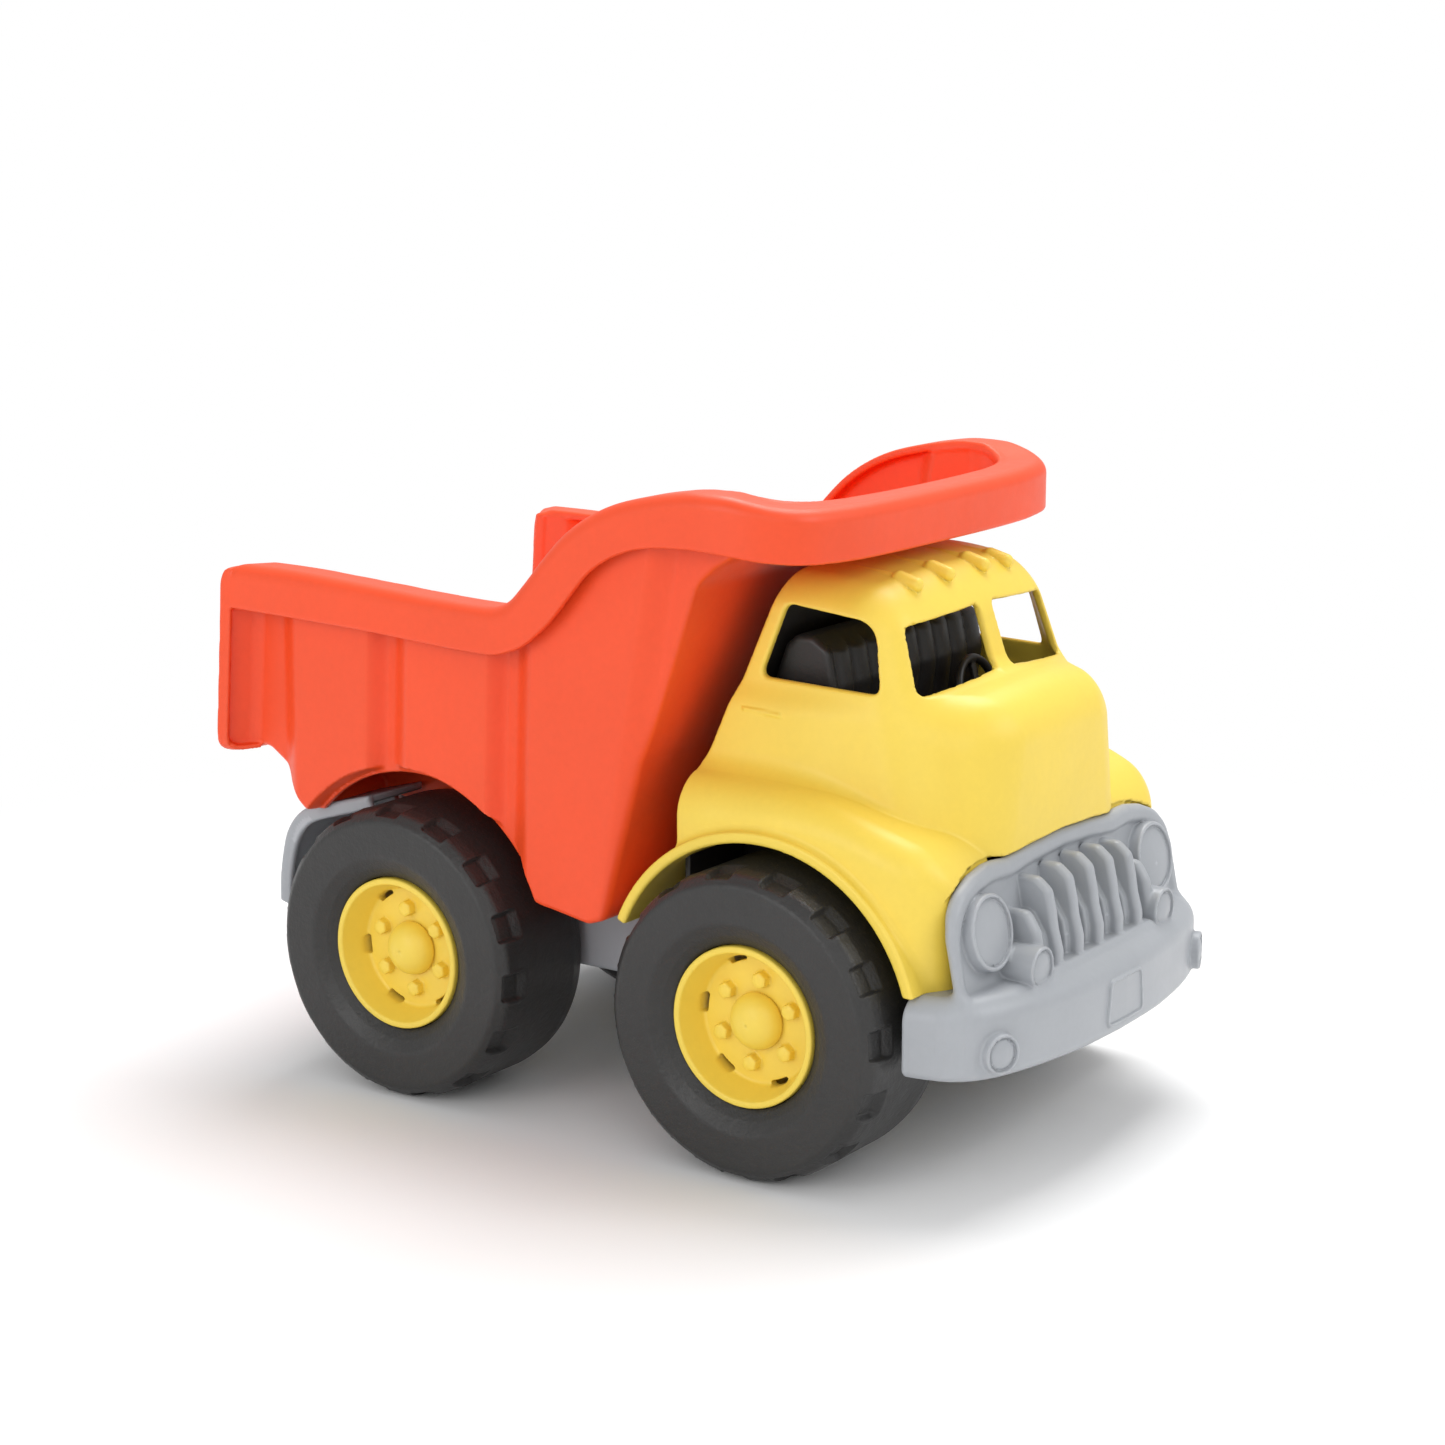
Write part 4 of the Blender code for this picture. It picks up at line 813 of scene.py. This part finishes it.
def chassis_field(x, y, z):
    y = np.abs(y)
    out = block(x, y, z, (-121.5, 116), (-60, 34), (38, 57), 1.6)
    out = union(out, block(x, y, z, (-29, 13), (-60, 42.4), (38.6, 60.5), 1.4), 0.8)
    for x0, x1, (half_width, top) in BAYS:
        out = carve(out, block(x, y, z, (x0, x1), (-60, half_width), (20, top), 1.2), 0.7)
    # axle bearings
    for at in (-AXLE_X, AXLE_X):
        out = carve(out, block(x, y, z, (at - 9, at + 9), (-60, 26), (20, 54.4), 1), 0.7)
        rad = dist(x, z, (at, AXLE_Z))
        out = union(out, meet(rad - 6.5, slab(y, 26, 39.5), 0.7), 0.9)
        out = carve(out, rad - AXLE_BORE, 0.4)
    guard = meet(guard_line(x, z), slab(y, 33, 67), 0.8)
    guard = union(guard, meet(guard_rim(x, z), slab(y, 64.6, 67.2), 1.1), 0.8)
    guard = meet(guard, np.minimum(x + 104.5, 41 - y), 0.6)
    out = union(out, guard, 1)
    out = union(out, meet(web_line(x, z), slab(y, 31.4, 34), 0.7), 0.8)
    out = union(out, meet(ear_line(x, z), slab(y, 20, 25.5), 0.9), 1)
    out = carve(out, np.maximum(dist(x, z, HINGE) - 2.7, y - 40), 0.3)
    # upright cross bar
    out = union(out, block(x, y, z, (-26, -18), (-60, 20), (56, 66.7), 1), 1)
    for screw in [row[:2] for row in CAB_SCREWS] + [GRILLE_SCREW]:
        out = carve(out, np.maximum(dist(x, y, screw) - SCREW_HOLE, 50 - z), 0.2)
    return out


# ------------------------------------------------------------------ interior
# seat and dashboard profiles (x, z, corner radius)
seat_line = rounded([(36.8, 67, 0.5), (100, 67, 0.5), (100, 69.6, 0.5), (78, 69.6, 3),
                     (75, 99, 3), (64.5, 101, 4), (68.2, 134, 6), (66, 144.6, 4),
                     (61.5, 148.4, 4), (55.8, 148.2, 4), (52, 145.2, 5), (49, 137, 6),
                     (37.4, 101, 4), (36.8, 90, 1)], 5, 0.3)
dash_line = rounded([(86, 69, 0), (95, 69, 0), (95, 118, 2), (94.4, 128.6, 3),
                     (88, 131, 4), (82, 127.5, 3), (81, 121, 3), (86, 114, 3)], 5, 0.3)


def cabin_field(x, y, z):
    half_y = np.abs(y)
    inside_cab = cab_form(x, y, z) + 3
    # seat with upright flutes on its back
    flute = (1.7 * np.sqrt(np.abs(np.sin(np.pi * (y / 9 + 0.2)))) * ramp(z, 101, 104)
             * (1 - ramp(z, 143, 148)) * ramp(x, 58, 62))
    seat = meet(seat_line(x + 1.9 - flute, z), np.abs(y - 1.8) - 42, 2.2)
    seat = meet(seat, inside_cab, 0.6)
    seat = meet(seat, 36.8 - x, 0.5)
    seat = carve(seat, block(x, half_y, z, (42, 70), (-60, 35), (40, 92), 1.5), 0.8)
    floor = block(x, half_y, z, (36.8, 100), (-60, 38.4), (67, 69.6), 0.7)
    out = union(seat, floor, 0.8)
    dash = meet(dash_line(x, z), half_y - 36, 2)
    dash = carve(dash, block(x, half_y, z, (88.2, 92.8), (-60, 33.5), (40, 115), 1), 0.6)
    out = union(out, dash, 1)
    wall = meet(slab(x - rear_x(z), 1, 3.2) * 0.94, inside_cab, 0.4)
    out = union(out, meet(wall, 67.2 - z, 0.4), 0.8)
    column = meet(dist(y, z, COLUMN) - 3.2, slab(x, 80.5, 87.5), 0.7)
    out = union(out, column, 0.8)
    # room for the cab's screw bosses
    for screw_x, screw_y, _ in CAB_SCREWS:
        rad = dist(x, half_y, (screw_x, screw_y))
        out = carve(out, np.maximum(rad - 5, z - 91), 0.4)
    return out


def steering_field(x, y, z):
    """Tilted ring with a hub, three spokes and a stem."""
    c, s = math.cos(0.30), math.sin(0.30)
    dx, across, dz = x - STEERING[0], y - STEERING[1], z - STEERING[2]
    depth, up = dx * c + dz * s, -dx * s + dz * c
    rad = np.hypot(across, up)
    ring = np.hypot(rad - 9.9, depth) - 1.25
    out = union(ring, meet(rad - 3, np.abs(depth) - 1.2, 0.7), 0.5)
    for degrees in (90, 210, 330):
        c, s = math.cos(math.radians(degrees)), math.sin(math.radians(degrees))
        along = across * c + up * s
        off = -across * s + up * c
        spoke = np.maximum(np.abs(off) - 1.2, np.abs(depth) - 0.7)
        out = union(out, meet(spoke, slab(along, 0.5, 9.6), 0.5), 0.6)
    stem = meet(dist(y, z, COLUMN) - 1.25, slab(x, 78, 82.6), 0.3)
    return union(out, stem, 0.4)


# ------------------------------------------------------------------ wheels
# Wheel frame: x and z across the axle, y along it outwards from the tyre's inner face.
WHEEL_Y = 43                             # y of that face on the truck
PHASE = {"front": 7.0, "rear": -6.0}     # turn of hub and cap about the axle, degrees
TYRE_PHASE = {"front": 14.5, "rear": -1.5}
NUT_CIRCLE = 12.4
# closed sections (radius, y, corner radius)
HUB = [(AXLE_BORE, 28.6, 0.2), (18.5, 28.6, 1.2), (21.3, 37.6, 0.8), (23.2, 37.6, 0.8),
       (23.2, -0.3, 0.4), (25.6, -0.3, 0.5), (25.6, -2.4, 0.5), (20.6, -2.4, 0.5),
       (20.4, 25.9, 1.5), (6.6, 25.9, 1.5), (6.6, 1, 0.4), (AXLE_BORE, 1, 0.3)]
hub_line = rounded(HUB, 6, 0.15, 5)
TYRE = [(23.5, 36.2, 0.8), (26.4, 38.5, 3), (30.2, 40.5, 4), (41, 40.5, 2.6),
        (43.9, 37.6, 3.5), (44.5, 33.5, 4), (44.5, 7, 4), (43.9, 2.9, 3), (41, 0, 3),
        (29, 0, 3), (23.5, 1, 0.8), (23.5, 3.6, 0.6), (38.5, 3.2, 2), (41.3, 5.5, 2),
        (41.3, 35, 2), (38.5, 37.4, 2), (30, 37.4, 2), (26.4, 35.6, 2), (23.5, 33.4, 0.6)]
TREAD_R = 41.9                           # tread lies outside this radius
POCKETS = 15


def hub_field(x, y, z):
    """Turned hub with six nuts and a slot between each pair."""
    rad = np.hypot(x, z)
    angle = np.arctan2(x, z)
    sector = math.pi / 3
    near = (angle + sector / 2) % sector - sector / 2
    u, v = rad * np.sin(near), rad * np.cos(near) - NUT_CIRCLE
    hexagon = np.maximum(np.maximum(np.abs(u), np.abs(0.5 * u + 0.866 * v)),
                         np.abs(0.5 * u - 0.866 * v))
    nut = meet(hexagon - 2.15, slab(y, 26, 31.9 - 0.10 * (u * u + v * v)), 0.35)
    out = union(hub_line(rad, y), nut, 0.5)
    off = (angle + sector) % sector - sector / 2
    slot = meet(np.abs(rad - 18.3) - 0.85, np.abs(rad * np.sin(off)) - 3, 0.8)
    return carve(out, np.maximum(slot, 22 - y), 0.25)


def lathe(profile, n):
    """Closed ring of (radius, y) points turned about the axle in n steps."""
    r, a = np.array(profile, float).T
    turn = np.arange(n) * 2 * math.pi / n
    p = np.stack([np.outer(np.sin(turn), r), np.broadcast_to(a, (n, len(a))),
                  np.outer(np.cos(turn), r)], 2)
    m = len(r)
    i = np.arange(n)[:, None]
    j = np.arange(m)[None, :]
    row, next_row, next_j = i * m, ((i + 1) % n) * m, (j + 1) % m
    quads = np.stack([row + j, row + next_j, next_row + next_j, next_row + j], 2)
    return p, turn, quads.reshape(-1, 4)


def resample(pts, step_at):
    out = []
    for p, q in zip(pts, pts[1:] + pts[:1]):
        p, q = Vector(p), Vector(q)
        n = max(1, int(math.ceil((q - p).length / step_at(0.5 * (p + q)))))
        out += [tuple(p.lerp(q, k / n)) for k in range(n)]
    return out


def facing_out(p, quads):
    """Turns every face of a closed surface outwards."""
    bm = bmesh.new()
    verts = [bm.verts.new(v) for v in p.tolist()]
    for quad in quads.tolist():
        bm.faces.new([verts[i] for i in quad])
    volume = bm.calc_volume(signed=True)
    bm.free()
    return p, quads if volume > 0 else quads[:, ::-1]


def tyre_step(point):
    """Longest edge along the section: finest where the pockets are."""
    r, a = point
    if r > TREAD_R and a > 25:
        return 0.42 * COARSE
    return (1.4 if r > TREAD_R or a > 36 else 3.0) * COARSE


def tyre_mesh():
    pts = resample(fillet(TYRE, 6), tyre_step)
    p, turn, quads = lathe(pts, int(720 / COARSE))
    r, a = np.array(pts).T
    # rounded rectangular pockets, with a slight rim, round the outer shoulder
    pitch = 2 * math.pi / POCKETS
    around = ((turn + pitch / 2) % pitch - pitch / 2) * 44
    edge = meet(np.abs(around)[:, None] - 4.3, np.abs(a - 35)[None, :] - 3.8, 0.8)
    on_tread = r > TREAD_R
    depth = 1.9 * ramp(-edge, -0.25, 0.75) * on_tread
    rim = 0.16 * np.exp(-((edge - 0.45) / 0.4) ** 2) * on_tread
    radial = np.hypot(p[:, :, 0], p[:, :, 2])
    scale = (radial - depth + rim) / radial
    p[:, :, 0] *= scale
    p[:, :, 2] *= scale
    return facing_out(p.reshape(-1, 3), quads)


def cap_mesh():
    """Hollow dome over the end of the axle."""
    profile = [(7.95, 28.9), (8.3, 29.3)]
    for k in range(1, 15):
        t = math.radians(k * 6)
        profile.append((8.3 * math.cos(t) ** 0.92, 29.3 + 6.3 * math.sin(t)))
    profile += [(0.02, 35.62), (0.02, 33.9), (3, 33.3), (5.2, 31.8), (6.4, 28.95)]
    p, _, quads = lathe(profile, int(96 / COARSE))
    return facing_out(p.reshape(-1, 3), quads)


def scene_point(x, y, z):
    """Design millimetres to scene metres."""
    return Vector(((x + SHIFT_X) * MM, y * MM, z * MM))


def turned_mesh(name, p, quads, normals, colour, degrees):
    """Mesh object turned about the axle and moved out to its place on it."""
    t = math.radians(-degrees)
    turn = np.array([[math.cos(t), 0, -math.sin(t)], [0, 1, 0], [math.sin(t), 0, math.cos(t)]])
    normals = None if normals is None else normals @ turn
    return mesh_object(name, (p + np.array([0, WHEEL_Y, 0])) @ turn, quads, normals,
                       SKINS[colour])


def place_wheels():
    """Left wheels carry the meshes; right wheels share them, turned half round."""
    parts = {
        "tyre": (*tyre_mesh(), None, "tyre"),
        "hub": (*surface(hub_field, (-27, -4, -27), (27, 39, 27), 0.5, mirror=False),
                "yellow"),
        "hub_cap": (*cap_mesh(), None, "yellow"),
    }
    for end, axle_x in (("front", AXLE_X), ("rear", -AXLE_X)):
        meshes = {}
        for side, angle in (("left", 0.0), ("right", math.pi)):
            for kind, part in parts.items():
                name = f"{end}_{side}_{kind}_moulding"
                if kind in meshes:
                    ob = add_object(name, meshes[kind])
                else:
                    phase = TYRE_PHASE if kind == "tyre" else PHASE
                    ob = turned_mesh(name, *part, phase[end])
                    meshes[kind] = ob.data
                ob.matrix_world = (Matrix.Translation(scene_point(axle_x, 0, AXLE_Z))
                                   @ Matrix.Rotation(angle, 4, "Z"))
                register(ob, f"wheel_{end}_{side}", f"{end}_{side}_{kind}")


# ------------------------------------------------------------------ build the pieces
moulding("dump_bed_moulding", bed_field, (-138.5, -84, 57), (84, 82.5, 195), 0.85,
         "orange", "bed", "dump_bed")
moulding("cab_moulding", cab_field, (7, -76, 56), (124, 76, 171), 0.8,
         "yellow", "truck", "cab_shell")
moulding("grille_bumper_moulding", grille_field, (102, -78, 33), (144, 78, 96), 0.6,
         "grey", "truck", "grille_bumper")
moulding("chassis_moulding", chassis_field, (-125, -70, 35), (119, 70, 90), 0.8,
         "grey", "truck", "chassis_frame")
moulding("cabin_moulding", cabin_field, (32, -72, 64), (103, 72, 168), 0.8,
         "black", "truck", "cab_interior", mirror=False)
moulding("steering_wheel_moulding", steering_field, (70, 7, 110), (86, 35, 139), 0.45,
         "black", "truck", "steering_wheel", mirror=False)
place_wheels()
# frame pieces that stay as they are take the new skins
for name, ob in frame["nodes"].items():
    pin = name in ("front_axle", "rear_axle", "bed_hinge_pin")
    if pin or "screw" in name:
        ob.data.materials.clear()
        ob.data.materials.append(STEEL if "screw" in name else SKINS["black"])

# ------------------------------------------------------------------ stage (metres)
FLOOR_RINGS = (0.1, 0.25, 0.5, 1.0, 2.0, 6.0)
FLOOR_SIDES = 48
WORLD_LIGHT = 0.58
# name, place, target, size, power
LIGHTS = [
    ("key_top", (-0.10, 0.45, 1.15), (0, 0, 0.08), (0.9, 0.7), 11.5),
    ("fill_front", (1.1, -1.2, 0.9), (0, 0, 0.10), (0.9, 0.8), 3.8),
    ("front_left", (1.35, 0.45, 1.0), (0, 0, 0.10), (0.9, 0.7), 6.0),
    ("side_soft", (-0.35, -1.9, 0.75), (0, 0, 0.10), (1.3, 1.0), 10.4),
]
CAMERA_AT = scene_point(505.96, -727.22, 300.34)
CAMERA_TARGET = scene_point(0.97, 0, 109.17)
CAMERA_ROLL = -0.058                     # degrees


def aim(place, target):
    return (Vector(target) - Vector(place)).to_track_quat("-Z", "Y")


def paper():
    """White paper, lit near the truck and fading to plain white; clear from below."""
    material = bpy.data.materials.new("paper")
    material.use_nodes = True
    tree = material.node_tree
    bsdf = tree.nodes["Principled BSDF"]
    bsdf.inputs["Base Color"].default_value = (0.93, 0.93, 0.93, 1)
    bsdf.inputs["Roughness"].default_value = 0.7
    bsdf.inputs["Specular IOR Level"].default_value = 0.1
    coords = add_node(tree, "ShaderNodeTexCoord")
    length = add_node(tree, "ShaderNodeVectorMath", {0: coords.outputs["Object"]},
                      operation="LENGTH")
    fade = map_range(tree, length.outputs["Value"], from_min=0.24, from_max=0.46,
                     interpolation_type="SMOOTHSTEP")
    glow = add_node(tree, "ShaderNodeEmission", {"Color": (1, 1, 1, 1), "Strength": 1.0})
    faded = add_node(tree, "ShaderNodeMixShader",
                     {0: fade, 1: bsdf.outputs["BSDF"], 2: glow.outputs["Emission"]})
    geometry = add_node(tree, "ShaderNodeNewGeometry")
    ray = add_node(tree, "ShaderNodeLightPath")
    below = add_node(tree, "ShaderNodeMath", {0: geometry.outputs["Backfacing"],
                                              1: ray.outputs["Is Camera Ray"]},
                     operation="MULTIPLY")
    clear = add_node(tree, "ShaderNodeBsdfTransparent")
    final = add_node(tree, "ShaderNodeMixShader",
                     {0: below.outputs[0], 1: faded.outputs["Shader"],
                      2: clear.outputs["BSDF"]})
    tree.links.new(final.outputs["Shader"], tree.nodes["Material Output"].inputs["Surface"])
    return material


def floor():
    bm = bmesh.new()
    turns = np.linspace(0, 2 * math.pi, FLOOR_SIDES, endpoint=False)
    rows = [[bm.verts.new((r * math.cos(t), r * math.sin(t), 0)) for t in turns]
            for r in FLOOR_RINGS]
    centre = bm.verts.new((0, 0, 0))
    for k in range(FLOOR_SIDES):
        bm.faces.new((centre, rows[0][k], rows[0][(k + 1) % FLOOR_SIDES]))
    for a, b in zip(rows, rows[1:]):
        for k in range(FLOOR_SIDES):
            after = (k + 1) % FLOOR_SIDES
            bm.faces.new((a[k], b[k], b[after], a[after]))
    me = bpy.data.meshes.new("studio_floor")
    bm.to_mesh(me)
    bm.free()
    ob = add_object("studio_floor", me)
    me.materials.append(paper())


def world():
    """White to the camera, dimmer as a light."""
    studio = bpy.data.worlds.new("studio")
    bpy.context.scene.world = studio
    studio.use_nodes = True
    tree = studio.node_tree
    background = tree.nodes["Background"]
    background.inputs["Color"].default_value = (1, 1, 1, 1)
    ray = add_node(tree, "ShaderNodeLightPath")
    strength = map_range(tree, ray.outputs["Is Camera Ray"], to_min=WORLD_LIGHT)
    tree.links.new(strength, background.inputs["Strength"])


def lights():
    for name, place, target, size, power in LIGHTS:
        light = bpy.data.lights.new(name, "AREA")
        light.shape = "RECTANGLE"
        light.size, light.size_y = size
        light.energy = power
        light.color = (1, 1, 1)
        ob = add_object(name, light)
        ob.location = place
        ob.rotation_euler = aim(place, target).to_euler()


def camera():
    scene = bpy.context.scene
    scene.view_settings.view_transform = "Standard"
    scene.view_settings.look = "None"
    scene.view_settings.exposure = 0.0
    scene.view_settings.gamma = 1.0
    cam = bpy.data.cameras.new("camera")
    cam.lens = 73.85
    cam.sensor_width = 36.0
    cam.sensor_fit = "HORIZONTAL"
    cam.clip_start, cam.clip_end = 0.01, 30
    ob = add_object("camera", cam)
    ob.location = CAMERA_AT
    roll = Matrix.Rotation(math.radians(CAMERA_ROLL), 3, "Z")
    ob.rotation_euler = (aim(CAMERA_AT, CAMERA_TARGET).to_matrix() @ roll).to_euler()
    scene.camera = ob


floor()
world()
lights()
camera()
